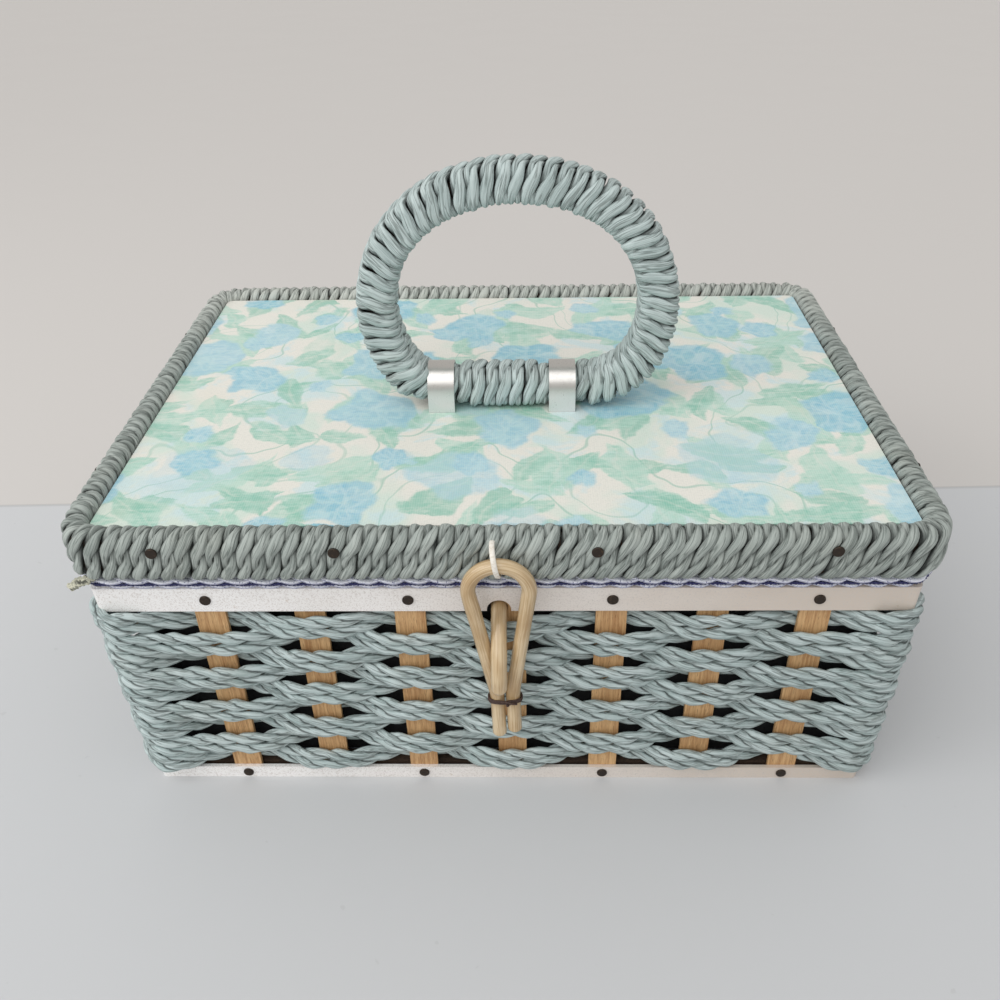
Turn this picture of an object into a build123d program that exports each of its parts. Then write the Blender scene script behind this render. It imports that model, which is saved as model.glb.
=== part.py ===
from build123d import *
import math
import os

# A lined, woven sewing basket with one hinged lid, a folding ring handle and a loop-and-peg closure.
# Millimetres. The origin is the middle of the base, on its underside: +Z up, the closure towards -Y,
# the lid hinges towards +Y. "Depth" is measured inwards from the outside faces of the band strips.

# ---- basket walls
BASE_LENGTH = 256.2            # outside the bottom bands, left to right
BASE_WIDTH = 184.0             # outside the bottom bands, front to back
BODY_HEIGHT = 92.0             # underside to the top edge of the top bands
WALL_FLARE = 3.6               # how far each wall leans out over the body's height
BAND_THICKNESS = 1.4
BAND_CORNER = 2.0              # outside corner radius of the bands
TOP_BAND_HEIGHT = 9.6
BOTTOM_BAND_HEIGHT = 5.6       # the bottom board is as thick, so the nails enter its edge
FIT_GAP = 0.05                 # between pieces of the same body that lie face to face
CUT_MARGIN = 1.0               # how far a cutting wedge reaches past what it cuts

# ---- staves and weave
STAVE_WIDTH = 10.0
STAVE_THICKNESS = 1.6
FRONT_STAVES = 7
SIDE_STAVES = 5
FRONT_END_GAP = 34.0           # wall corner to the middle of the first stave, front and back
SIDE_END_GAP = 27.0            # the same on the two ends
STAVE_SHIFT = 2.4              # the long walls' staves sit this far to the right of the middle
STAVE_FOOT = 0.3               # underside of the basket to the foot of a stave
STAVE_DROP = 0.3               # top of a stave below the top of the bands
WEAVE_COURSES = 9
CORD_DIAMETER = 4.3
WEAVE_CLEARANCE = 0.3          # cord to stave face
COURSE_GAP = 0.15              # between one course and the next
WEAVE_SHOULDER = 1.0           # flat run of cord past each edge of a stave
WEAVE_CORNER = 9.0             # outside corner radius of the weave
WEAVE_CORNER_SWELL = 2.2       # how far the cords swing out as they round a corner

# ---- inner top rail and lining
RAIL_THICKNESS = 4.5
LINING_GAP = 0.3
LINING_THICKNESS = 3.0
BASE_PAD_THICKNESS = 4.0
LINING_TOP_DROP = 0.4          # top of the lining below the top of the bands
BRAID_WIDTH = 8.4
BRAID_HEIGHT = 2.5
BODY_BRAID_INSET = 0.2         # outside of the bands to the outer edge of the body's braid
BRAID_GAP = 0.4                # body braid to lid braid, lid closed

# ---- nails
NAIL_SHANK = 1.3
NAIL_HEAD = 3.7
NAIL_HEAD_THICKNESS = 0.6
NAIL_HEAD_ROUND = 0.35
NAIL_CLEARANCE = 0.03          # radial, shank in its hole
NAIL_TIP_COVER = 1.5           # wood left behind the tip of a top band nail
BASE_NAIL_BITE = 7.0           # shank length inside the bottom board
LID_NAIL_BITE = 6.0            # shank length inside the lid board
LONG_LID_NAILS = (-106.0, -50.5, 29.0, 100.5)
SHORT_LID_NAILS = (-55.0, 55.0)

# ---- lid
LID_END_OVERHANG = 7.0         # outside of the top bands to the outside of the rim, at the two ends
LID_FRONT_OVERHANG = 5.7       # the same at the front and back
RIM_WIDTH = 11.0               # front and back
RIM_END_WIDTH = 9.4
RIM_HEIGHT = 18.0
RIM_CORNER = 14.0
RIM_INNER_CORNER = 2.5
RIM_EDGE_ROUND = 3.4
WRAP_THICKNESS = 2.5           # cord wrapped round the lid's wooden rails
LID_BOARD_THICKNESS = 3.0
LID_COVER_THICKNESS = 0.6
LID_COVER_DROP = 3.1           # top of the rim to the top of the printed cover
LID_FIT = 0.3                  # board, cover and lining inside the rim
LID_BRAID_INSET = 5.0          # outside of the rim to the outer edge of the lid's braid
RIM_SEAT = 0.1                 # lid braid to the underside of the rim

# ---- ring handle
HANDLE_X = 4.9                 # middle of the ring
HANDLE_Y = -9.5
HANDLE_SECTION = 14.8          # over the wrapping
HANDLE_CORE = 8.0
HANDLE_RISE = 74.7             # bottom bar to crown, centre to centre
HANDLE_CROWN_RADIUS = 60.0
HANDLE_CROWN_HALF_ANGLE = 25.0
HANDLE_SHOULDER_RADIUS = 42.0
HANDLE_FLAT_LEFT = 28.4        # middle of the ring to the left end of the straight bar
HANDLE_FLAT_RIGHT = 24.0
HANDLE_LIFT = 0.4              # bar to lid cover

# ---- handle straps
STRAP_WIDTH = 9.6
STRAP_THICKNESS = 0.8
STRAP_CLEARANCE = 0.4          # bar to strap
STRAP_FOOT = 6.0
STRAP_SLIT_GAP = 0.1
LEFT_STRAP_X = -23.2
RIGHT_STRAP_X = 21.0

# ---- closure loop, lace and peg
CLASP_X = -1.2
LOOP_ROD = 4.8
LOOP_BEND_RADIUS = 9.4         # centreline of the round end
LOOP_LENGTH = 71.0             # centreline, top of the bend to the end of the longer leg
LOOP_SHORT_LEG = 1.8           # the right leg ends this much higher
LOOP_LEG_GAP = 0.4             # between the two legs where they lie side by side
LOOP_LEG_RADIUS = 16.0         # bend from the sloping to the straight part of a leg
LOOP_STRAIGHT = 17.8           # straight, parallel end of each leg
LOOP_TOP_DROP = 8.2            # top of the rim to the centreline of the loop's top
LOOP_STANDOFF = 0.5            # rod to rim
LOOP_TILT = 1.8                # degrees that the legs hang off the vertical, towards +X
TIE_HEIGHT = 1.7
TIE_THICKNESS = 0.7
TIE_ABOVE_END = 16.8           # end of the longer leg to the middle of the tie
LACE_RADIUS = 5.5
LACE_DIAMETER = 1.1
LACE_RISE = 1.2                # centre of the loop's rod to the centre of the lace ring
LACE_SETBACK = 2.0
LACE_HOLE_CLEARANCE = 0.05
PEG_DIAMETER = 5.2
PEG_TIP_DROP = 31.7            # top of the bands to the tip of the peg
PEG_TIP_GAP = 0.5              # back of the peg to the front of the loop's legs
PEG_EXIT_DROP = 9.0            # top of the bands to the peg's centre where it comes out
PEG_FALL = 2.4                 # drop of the peg from the band to its knee
PEG_BITE = 4.0                 # length of the peg inside the inner rail
PEG_KNEE_RADIUS = 12.0
PEG_TIP_RADIUS = 14.0
PEG_KNEE_REACH = 7.2           # outside of the band to the knee
PEG_SHIN_LENGTH = 7.0          # straight end of the peg, up to the bend above it
PEG_HOLE_CLEARANCE = 0.3
NOTCH_WIDTH = 7.8
NOTCH_CUT_DEPTH = 5.6          # longer than the leaning band is thick

# ---- lid hinges
HINGE_BAYS = (1, 4)             # gaps between back staves, counted from the left, that hold a hinge
HINGE_WIRE = 2.0
HINGE_CLEARANCE = 0.08         # radial, eye on bar
HINGE_BEHIND_RIM = 3.5         # back of the rim to the hinge axis
HINGE_ABOVE_BANDS = 4.0        # top of the bands to the hinge axis
HINGE_HALF_SPAN = 7.0
HINGE_LEG_DROP = 8.5           # axis to the legs that enter the band
HINGE_BITE = 7.0               # length of leg inside the band and rail
EYE_LENGTH = 5.0
EYE_ARM_RISE = 10.5            # axis to the arm that enters the lid rail
EYE_ARM_BITE = 8.0             # length of arm inside the rim
WIRE_HOLE_CLEARANCE = 0.05

# ---- worked out from the values above
WALL_LEAN = math.degrees(math.atan(WALL_FLARE / BODY_HEIGHT))
TOP_BAND_BOTTOM = BODY_HEIGHT - TOP_BAND_HEIGHT
STAVE_DEPTH = BAND_THICKNESS + FIT_GAP
STAVE_BACK = STAVE_DEPTH + STAVE_THICKNESS
RAIL_DEPTH = STAVE_BACK + FIT_GAP
COURSE_PITCH = (TOP_BAND_BOTTOM - BOTTOM_BAND_HEIGHT) / WEAVE_COURSES
WEAVE_OFFSET = STAVE_THICKNESS / 2 + WEAVE_CLEARANCE + CORD_DIAMETER / 2
WEAVE_BACK = STAVE_DEPTH + STAVE_THICKNESS / 2 + WEAVE_OFFSET + CORD_DIAMETER / 2
LINING_DEPTH = max(WEAVE_BACK, RAIL_DEPTH + RAIL_THICKNESS) + LINING_GAP
LINING_BACK = LINING_DEPTH + LINING_THICKNESS

BODY_BRAID_Z = BODY_HEIGHT + FIT_GAP
LID_BRAID_Z = BODY_BRAID_Z + BRAID_HEIGHT + BRAID_GAP
RIM_BOTTOM = LID_BRAID_Z + BRAID_HEIGHT + RIM_SEAT
RIM_TOP = RIM_BOTTOM + RIM_HEIGHT
RIM_HALF_X = BASE_LENGTH / 2 + WALL_FLARE + LID_END_OVERHANG
RIM_HALF_Y = BASE_WIDTH / 2 + WALL_FLARE + LID_FRONT_OVERHANG
COVER_TOP = RIM_TOP - LID_COVER_DROP
BOARD_TOP = COVER_TOP - LID_COVER_THICKNESS
BOARD_BOTTOM = BOARD_TOP - LID_BOARD_THICKNESS
LID_LINING_TOP = BOARD_BOTTOM - STRAP_THICKNESS - LID_FIT

HANDLE_AXIS_Z = COVER_TOP + HANDLE_LIFT + HANDLE_SECTION / 2

LOOP_Y = -(RIM_HALF_Y + LOOP_STANDOFF + LOOP_ROD / 2)
LOOP_TOP_Z = RIM_TOP - LOOP_TOP_DROP
PEG_TIP_Y = LOOP_Y - LOOP_ROD / 2 - PEG_TIP_GAP - PEG_DIAMETER / 2
PEG_TIP_Z = BODY_HEIGHT - PEG_TIP_DROP + PEG_DIAMETER / 2
PEG_EXIT_Z = BODY_HEIGHT - PEG_EXIT_DROP

HINGE_AXIS_Y = RIM_HALF_Y + HINGE_BEHIND_RIM
HINGE_AXIS_Z = BODY_HEIGHT + HINGE_ABOVE_BANDS

# Walls in the order in which the weave runs round them, with the turn that takes the front to each.
WALLS = {"front": 0, "right": 90, "back": 180, "left": 270}


def wall_reach(wall, z, depth=0.0):
    """Distance from the basket's middle to a wall's layer at height z."""
    base = BASE_WIDTH if wall in ("front", "back") else BASE_LENGTH
    return base / 2 + WALL_FLARE * z / BODY_HEIGHT - depth


def on_wall(wall, shape):
    """Turns a shape made for the front wall onto the named wall."""
    return Rot(0, 0, WALLS[wall]) * shape


def stave_spots(wall):
    """Places of the staves along a wall, in the wall's own left-to-right direction."""
    long_wall = wall in ("front", "back")
    count = FRONT_STAVES if long_wall else SIDE_STAVES
    end_gap = FRONT_END_GAP if long_wall else SIDE_END_GAP
    neighbour = "right" if long_wall else "front"
    first = end_gap - wall_reach(neighbour, BODY_HEIGHT)
    shift = {"front": STAVE_SHIFT, "back": -STAVE_SHIFT}.get(wall, 0.0)
    pitch = -2 * first / (count - 1)
    return [first + shift + pitch * index for index in range(count)]


def rectangle_at(half_x, half_y, radius, z):
    """A rectangle about the origin at height z, its corners rounded if radius is not nought."""
    if radius > 0:
        shape = RectangleRounded(2 * half_x, 2 * half_y, radius)
    else:
        shape = Rectangle(2 * half_x, 2 * half_y)
    return Plane.XY.offset(z) * shape


def frustum(depth, low, high):
    """The solid inside the wall layer at a depth, between two heights."""
    radius = max(BAND_CORNER - depth, 0.0)
    sections = [
        rectangle_at(wall_reach("right", z, depth), wall_reach("front", z, depth), radius, z)
        for z in (low, high)
    ]
    return loft(sections, ruled=True)


def wall_ring(depth, thickness, low, high):
    """A leaning rectangular ring that follows the walls."""
    return frustum(depth, low, high) - frustum(depth + thickness, low, high)


def mitre_wedge(wall, half_x, half_y, low, high):
    """The wedge of space that a wall owns, cut at 45 degrees through the corners."""
    spread = half_x + half_y
    if wall in ("front", "back"):
        inner = half_x - half_y
        points = [(-inner - spread, -spread), (inner + spread, -spread), (inner, 0), (-inner, 0)]
    else:
        inner = half_x - half_y
        points = [(-spread, -inner - spread), (spread, -inner - spread), (0, -inner)]
    face = make_face(Polyline(*points, close=True))
    return on_wall(wall, Pos(0, 0, low) * extrude(face, high - low))


def mitred(ring, wall, half_x, half_y):
    """One wall's quarter of a rectangular ring."""
    box = ring.bounding_box()
    return ring & mitre_wedge(wall, half_x, half_y, box.min.Z - CUT_MARGIN, box.max.Z + CUT_MARGIN)


def wall_quarter(ring, wall):
    return mitred(ring, wall, wall_reach("right", 0), wall_reach("front", 0))


def leaning_strip(wall, along, width, depth, thickness, low, high):
    """A plate that lies in a leaning wall: a stave, or the cut for one."""
    outline = [(-wall_reach(wall, z, depth + extra), z)
               for z, extra in ((low, 0), (high, 0), (high, thickness), (low, thickness))]
    face = make_face(Plane.YZ * Polyline(*outline, close=True))
    strip = extrude(face, width, dir=(1, 0, 0))
    return on_wall(wall, Pos(along - width / 2, 0, 0) * strip)


def pointed_in(length, radius):
    """A round bar that starts at the origin and runs along +Y."""
    return Rot(-90, 0, 0) * Cylinder(radius, length, align=(Align.CENTER, Align.CENTER, Align.MIN))


def nail_at(place, wall, length, lean=0.0, radial=0.0, head=True):
    """A nail, or its hole, driven inwards through a wall from a point on the front wall's frame."""
    body = pointed_in(length, NAIL_SHANK / 2 + radial)
    if head:
        disc = Rot(90, 0, 0) * Cylinder(
            NAIL_HEAD / 2, NAIL_HEAD_THICKNESS, align=(Align.CENTER, Align.CENTER, Align.MIN))
        rim = disc.edges().group_by(Axis.Y)[0]
        body = body + fillet(rim, NAIL_HEAD_ROUND)
    return on_wall(wall, Pos(*place) * Rot(lean, 0, 0) * body)


def band_nails(wall, z, length, radial=0.0, head=True):
    """Nails through every second stave of a wall, at one height."""
    spots = stave_spots(wall)[::2]
    return [
        nail_at((along, -wall_reach(wall, z), z), wall, length, WALL_LEAN, radial, head)
        for along in spots
    ]


def cut_by(piece, tools):
    for tool in tools:
        piece = piece - tool
    return piece


def rod(points, diameter):
    """Round wire through a list of points, with a ball at each bend."""
    shape = None
    for start, end in zip(points, points[1:]):
        line = Line(start, end)
        run = sweep(Plane(origin=start, z_dir=line % 0) * Circle(diameter / 2), path=line)
        shape = run if shape is None else shape + run
    for corner in points[1:-1]:
        shape = shape + Pos(*corner) * Sphere(diameter / 2)
    return shape


def arc_in_xz(centre, radius, start, end):
    """An arc in a plane of constant Y, from angle start to angle end, in degrees from +X to +Z."""
    points = []
    for angle in (start, (start + end) / 2, end):
        turn = math.radians(angle)
        points.append((centre[0] + radius * math.cos(turn), centre[1],
                       centre[2] + radius * math.sin(turn)))
    return ThreePointArc(*points)


def tube_along(edges, diameter):
    """A round rod whose centreline is a chain of edges that meet tangentially."""
    path = Wire(edges)
    section = Plane(origin=path @ 0, z_dir=path % 0) * Circle(diameter / 2)
    return sweep(section, path=path)


# ---------------------------------------------------------------- basket
def basket_frame():
    """Bottom board, bands, inner top rails, staves and their nails."""
    nodes = {}
    top_nail_z = BODY_HEIGHT - TOP_BAND_HEIGHT / 2
    base_nail_z = BOTTOM_BAND_HEIGHT / 2
    top_bite = RAIL_DEPTH + RAIL_THICKNESS - NAIL_TIP_COVER
    base_bite = STAVE_BACK + BASE_NAIL_BITE

    board = frustum(STAVE_BACK + FIT_GAP, 0, BOTTOM_BAND_HEIGHT)
    bottom_ring = wall_ring(0, BAND_THICKNESS, 0, BOTTOM_BAND_HEIGHT)
    top_ring = wall_ring(0, BAND_THICKNESS, TOP_BAND_BOTTOM, BODY_HEIGHT)
    rail_ring = wall_ring(RAIL_DEPTH, RAIL_THICKNESS, TOP_BAND_BOTTOM, BODY_HEIGHT)
    top_nails = []
    base_nails = []
    for wall in WALLS:
        top_holes = band_nails(wall, top_nail_z, top_bite, NAIL_CLEARANCE, head=False)
        base_holes = band_nails(wall, base_nail_z, base_bite, NAIL_CLEARANCE, head=False)
        nodes[f"bottom_band_{wall}"] = cut_by(wall_quarter(bottom_ring, wall), base_holes)
        nodes[f"top_band_{wall}"] = cut_by(wall_quarter(top_ring, wall), top_holes)
        nodes[f"top_rail_{wall}"] = cut_by(wall_quarter(rail_ring, wall), top_holes)
        staves = [
            leaning_strip(wall, along, STAVE_WIDTH, STAVE_DEPTH, STAVE_THICKNESS,
                          STAVE_FOOT, BODY_HEIGHT - STAVE_DROP)
            for along in stave_spots(wall)
        ]
        nodes[f"staves_{wall}"] = [cut_by(stave, top_holes + base_holes) for stave in staves]
        board = cut_by(board, base_holes)
        top_nails += band_nails(wall, top_nail_z, top_bite - FIT_GAP)
        base_nails += band_nails(wall, base_nail_z, base_bite - FIT_GAP)
    nodes["bottom_board"] = board
    nodes["top_band_nails"] = top_nails
    nodes["bottom_band_nails"] = base_nails
    return nodes


def weave_line(z, parity, side):
    """One edge of a course in plan: side is +1 for its outside, -1 for its inside."""
    half_flat = STAVE_WIDTH / 2 + WEAVE_SHOULDER
    middle = STAVE_DEPTH + STAVE_THICKNESS / 2
    points = []
    index = 0
    for wall in WALLS:
        neighbour = "right" if wall in ("front", "back") else "front"
        edge = side * CORD_DIAMETER / 2
        reach = wall_reach(wall, z, middle) + edge
        swell = edge + WEAVE_CORNER_SWELL
        corner = (-wall_reach(neighbour, z, middle) - swell, -wall_reach(wall, z, middle) - swell)
        turn = math.radians(WALLS[wall])
        local = [corner]
        for along in stave_spots(wall):
            bulge = WEAVE_OFFSET if (index + parity) % 2 == 0 else -WEAVE_OFFSET
            local += [(along - half_flat, -reach - bulge), (along + half_flat, -reach - bulge)]
            index += 1
        points += [(x * math.cos(turn) - y * math.sin(turn), x * math.sin(turn) + y * math.cos(turn))
                   for x, y in local]
    return points


def weave_face(z, parity, side, corner_radius):
    """The area inside one edge of a course, with its four wall corners rounded."""
    face = make_face(Polyline(*weave_line(z, parity, side), close=True))
    limit = wall_reach("right", z, STAVE_BACK) - FRONT_END_GAP / 2
    corners = [vertex for vertex in face.vertices() if abs(vertex.X) > limit
               and abs(vertex.Y) > wall_reach("front", z, STAVE_BACK) - SIDE_END_GAP / 2]
    return fillet(corners, corner_radius)


def weave_courses():
    """Nine closed courses of paired cord, each in front of one stave and behind the next."""
    nodes = {}
    for number in range(1, WEAVE_COURSES + 1):
        low = BOTTOM_BAND_HEIGHT + COURSE_PITCH * (number - 1) + COURSE_GAP / 2
        middle = low + (COURSE_PITCH - COURSE_GAP) / 2
        outside = weave_face(middle, number % 2, 1, WEAVE_CORNER)
        inside = weave_face(middle, number % 2, -1, WEAVE_CORNER - CORD_DIAMETER)
        course = extrude(outside - inside, COURSE_PITCH - COURSE_GAP)
        nodes[f"weave_course_{number}"] = Pos(0, 0, low) * course
    return nodes


def basket_lining():
    """Padded satin wall panels, the pad on the bottom, and the braid over their top edge."""
    low = BOTTOM_BAND_HEIGHT + FIT_GAP
    ring = wall_ring(LINING_DEPTH, LINING_THICKNESS, low, BODY_HEIGHT - LINING_TOP_DROP)
    nodes = {f"lining_{wall}": wall_quarter(ring, wall) for wall in WALLS}
    nodes["lining_base_pad"] = frustum(LINING_BACK + LINING_GAP, low, low + BASE_PAD_THICKNESS)
    nodes["body_braid"] = flat_ring(
        wall_reach("right", BODY_HEIGHT, BODY_BRAID_INSET),
        wall_reach("front", BODY_HEIGHT, BODY_BRAID_INSET), BODY_BRAID_Z)
    return nodes


def flat_ring(half_x, half_y, z):
    """A braid laid flat round a rectangle."""
    outer = extrude(rectangle_at(half_x, half_y, BAND_CORNER, z), BRAID_HEIGHT)
    inner = extrude(rectangle_at(half_x - BRAID_WIDTH, half_y - BRAID_WIDTH, 0, z), BRAID_HEIGHT)
    return outer - inner


# ---------------------------------------------------------------- closure
def peg_edges():
    """Centreline of the peg, from inside the rail, out of the notch and down to its tip."""
    band_y = -wall_reach("front", PEG_EXIT_Z)
    points = [
        (CLASP_X, band_y + RAIL_DEPTH + PEG_BITE, PEG_EXIT_Z + PEG_FALL / 2),
        (CLASP_X, band_y - PEG_KNEE_REACH, PEG_EXIT_Z - PEG_FALL),
        (CLASP_X, PEG_TIP_Y, PEG_TIP_Z + PEG_SHIN_LENGTH),
        (CLASP_X, PEG_TIP_Y, PEG_TIP_Z),
    ]
    return FilletPolyline(*points, radius=[PEG_KNEE_RADIUS, PEG_TIP_RADIUS]).edges()


def closure_peg(extra=0.0):
    """The rattan peg; extra makes the thicker shape that cuts its hole."""
    diameter = PEG_DIAMETER + 2 * extra
    return tube_along(peg_edges(), diameter) + Pos(CLASP_X, PEG_TIP_Y, PEG_TIP_Z) * Sphere(diameter / 2)


def band_notch():
    """Round-topped cut in the lower edge of the front top band, where the peg comes out."""
    place = Pos(CLASP_X, -wall_reach("front", PEG_EXIT_Z), PEG_EXIT_Z)
    arch = place * Rot(90, 0, 0) * Cylinder(NOTCH_WIDTH / 2, NOTCH_CUT_DEPTH)
    leg = place * Pos(0, 0, -TOP_BAND_HEIGHT / 2) * Box(NOTCH_WIDTH, NOTCH_CUT_DEPTH, TOP_BAND_HEIGHT)
    return arch + leg


def loop_leg_points():
    """Angle of a sloping leg and the height where it turns straight, for the loop's centreline."""
    leg_x = (LOOP_ROD + LOOP_LEG_GAP) / 2
    bend_z = LOOP_TOP_Z - LOOP_BEND_RADIUS
    turn_z = LOOP_TOP_Z - LOOP_LENGTH + LOOP_STRAIGHT
    reach_x = leg_x + LOOP_LEG_RADIUS
    distance = math.hypot(reach_x, bend_z - turn_z)
    slope = math.asin((LOOP_BEND_RADIUS + LOOP_LEG_RADIUS) / distance)
    slope = math.degrees(slope - math.atan2(reach_x, bend_z - turn_z))
    return leg_x, bend_z, turn_z, slope


def tilted(shape):
    """A shape of the loop, turned about the middle of the loop's top as the loop hangs."""
    place = Pos(CLASP_X, LOOP_Y, LOOP_TOP_Z)
    return place * Rot(0, -LOOP_TILT, 0) * place.inverse() * shape


def closure_loop():
    """Teardrop of bent rattan whose two legs lie side by side at the bottom."""
    leg_x, bend_z, turn_z, slope = loop_leg_points()
    end_z = LOOP_TOP_Z - LOOP_LENGTH
    bend_centre = (CLASP_X, LOOP_Y, bend_z)
    left_centre = (CLASP_X - leg_x - LOOP_LEG_RADIUS, LOOP_Y, turn_z)
    right_centre = (CLASP_X + leg_x + LOOP_LEG_RADIUS, LOOP_Y, turn_z)
    left_arc = arc_in_xz(left_centre, LOOP_LEG_RADIUS, 0, slope)
    right_arc = arc_in_xz(right_centre, LOOP_LEG_RADIUS, 180 - slope, 180)
    bend = arc_in_xz(bend_centre, LOOP_BEND_RADIUS, 180 + slope, -slope)
    edges = [
        Line((CLASP_X - leg_x, LOOP_Y, end_z), left_arc @ 0),
        left_arc,
        Line(left_arc @ 1, bend @ 0),
        bend,
        Line(bend @ 1, right_arc @ 0),
        right_arc,
        Line(right_arc @ 1, (CLASP_X + leg_x, LOOP_Y, end_z + LOOP_SHORT_LEG)),
    ]
    return tilted(tube_along(edges, LOOP_ROD))


def loop_tie():
    """Dark thread wound round both legs."""
    span = LOOP_ROD + LOOP_LEG_GAP
    inner_radius = LOOP_ROD / 2 + FIT_GAP
    outer_radius = inner_radius + TIE_THICKNESS
    z = LOOP_TOP_Z - LOOP_LENGTH + TIE_ABOVE_END - TIE_HEIGHT / 2
    outer = SlotCenterToCenter(span, 2 * outer_radius)
    inner = SlotCenterToCenter(span, 2 * inner_radius)
    return tilted(Pos(CLASP_X, LOOP_Y, z) * extrude(outer - inner, TIE_HEIGHT))


def loop_lace(extra=0.0):
    """The plastic lace ring that hangs the loop from the rim; extra makes its hole."""
    place = Pos(CLASP_X, LOOP_Y + LACE_SETBACK, LOOP_TOP_Z + LACE_RISE)
    return place * Rot(0, 90, 0) * Torus(LACE_RADIUS, LACE_DIAMETER / 2 + extra)


# ---------------------------------------------------------------- hinges
def hinge_spots():
    """Places of the left and right hinge, each in the middle of a gap between two back staves."""
    spots = sorted(-along for along in stave_spots("back"))
    return [(spots[bay] + spots[bay + 1]) / 2 for bay in HINGE_BAYS]


def hinge_staple(x, extra=0.0):
    """Wire staple on the body: its cross bar is the hinge axis."""
    leg_z = HINGE_AXIS_Z - HINGE_LEG_DROP
    inner_y = wall_reach("back", leg_z) - HINGE_BITE
    points = [
        (x - HINGE_HALF_SPAN, inner_y, leg_z),
        (x - HINGE_HALF_SPAN, HINGE_AXIS_Y, leg_z),
        (x - HINGE_HALF_SPAN, HINGE_AXIS_Y, HINGE_AXIS_Z),
        (x + HINGE_HALF_SPAN, HINGE_AXIS_Y, HINGE_AXIS_Z),
        (x + HINGE_HALF_SPAN, HINGE_AXIS_Y, leg_z),
        (x + HINGE_HALF_SPAN, inner_y, leg_z),
    ]
    return rod(points, HINGE_WIRE + 2 * extra)


def hinge_eye(x, extra=0.0):
    """Rolled eye on the lid that turns on the staple's bar, with an arm into the lid's rail."""
    bore = HINGE_WIRE / 2 + HINGE_CLEARANCE
    arm_start = HINGE_AXIS_Z + bore + HINGE_WIRE / 2
    arm_z = HINGE_AXIS_Z + EYE_ARM_RISE
    arm = rod([(x, HINGE_AXIS_Y, arm_start), (x, HINGE_AXIS_Y, arm_z),
               (x, RIM_HALF_Y - EYE_ARM_BITE, arm_z)], HINGE_WIRE + 2 * extra)
    barrel = Rot(0, 90, 0) * Cylinder(bore + HINGE_WIRE, EYE_LENGTH)
    hole = Rot(0, 90, 0) * Cylinder(bore, 2 * EYE_LENGTH)
    place = Pos(x, HINGE_AXIS_Y, HINGE_AXIS_Z)
    return arm + place * barrel - place * hole


# ---------------------------------------------------------------- lid
def rim_box(end_inset, front_inset, low, high, radius):
    outline = rectangle_at(RIM_HALF_X - end_inset, RIM_HALF_Y - front_inset, radius, low)
    return extrude(outline, high - low)


def lid_rim():
    """The rim's cord wrapping as a hollow rounded ring, and the wooden rails inside it."""
    outer = rim_box(0, 0, RIM_BOTTOM, RIM_TOP, RIM_CORNER)
    opening = rim_box(RIM_END_WIDTH, RIM_WIDTH, RIM_BOTTOM, RIM_TOP, RIM_INNER_CORNER)
    rim = outer - opening
    flat_edges = rim.edges().filter_by_position(Axis.Z, RIM_BOTTOM, RIM_BOTTOM)
    flat_edges += rim.edges().filter_by_position(Axis.Z, RIM_TOP, RIM_TOP)
    rim = fillet(flat_edges, RIM_EDGE_ROUND)
    rail_low = RIM_BOTTOM + WRAP_THICKNESS
    rail_high = RIM_TOP - WRAP_THICKNESS
    rail_outer = rim_box(WRAP_THICKNESS, WRAP_THICKNESS, rail_low, rail_high, RIM_CORNER - WRAP_THICKNESS)
    rail_inner = rim_box(RIM_END_WIDTH - WRAP_THICKNESS, RIM_WIDTH - WRAP_THICKNESS, rail_low, rail_high, 0)
    rails = rail_outer - rail_inner
    return rim - rails, rails


def lid_plate(low, high):
    """A flat layer of the lid that fills the rim's opening."""
    return rim_box(RIM_END_WIDTH + LID_FIT, RIM_WIDTH + LID_FIT, low, high, RIM_INNER_CORNER)


def lid_nail_set(radial=0.0, head=True):
    """Nails through the rim into the edge of the lid board."""
    z = (BOARD_TOP + BOARD_BOTTOM) / 2
    nails = []
    for wall in WALLS:
        long_wall = wall in ("front", "back")
        reach = RIM_HALF_Y if long_wall else RIM_HALF_X
        length = (RIM_WIDTH if long_wall else RIM_END_WIDTH) + LID_FIT + LID_NAIL_BITE
        for along in (LONG_LID_NAILS if long_wall else SHORT_LID_NAILS):
            nails.append(nail_at((along, -reach, z), wall, length, 0.0, radial, head))
    return nails


def lid_pieces():
    nodes = {}
    wraps, rails = lid_rim()
    holes = lid_nail_set(NAIL_CLEARANCE, head=False)
    left_hinge, right_hinge = hinge_spots()
    eye_holes = [hinge_eye(x, WIRE_HOLE_CLEARANCE) for x in (left_hinge, right_hinge)]
    rim_holes = holes + eye_holes + [loop_lace(LACE_HOLE_CLEARANCE)]
    wraps = cut_by(wraps, rim_holes)
    rails = cut_by(rails, rim_holes)
    for wall in WALLS:
        nodes[f"lid_wrap_{wall}"] = mitred(wraps, wall, RIM_HALF_X, RIM_HALF_Y)
        nodes[f"lid_rail_{wall}"] = mitred(rails, wall, RIM_HALF_X, RIM_HALF_Y)
    slits = [slit for x in (LEFT_STRAP_X, RIGHT_STRAP_X) for slit in strap_slits(x)]
    nodes["lid_board"] = cut_by(lid_plate(BOARD_BOTTOM, BOARD_TOP), holes + slits)
    nodes["lid_cover"] = cut_by(lid_plate(BOARD_TOP, COVER_TOP), slits)
    nodes["lid_lining"] = lid_plate(RIM_BOTTOM, LID_LINING_TOP)
    nodes["lid_braid"] = flat_ring(RIM_HALF_X - LID_BRAID_INSET, RIM_HALF_Y - LID_BRAID_INSET, LID_BRAID_Z)
    nodes["lid_nails"] = lid_nail_set()
    nodes["hinge_eye_left"] = hinge_eye(left_hinge)
    nodes["hinge_eye_right"] = hinge_eye(right_hinge)
    nodes["loop_lace"] = loop_lace()
    return nodes


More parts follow.
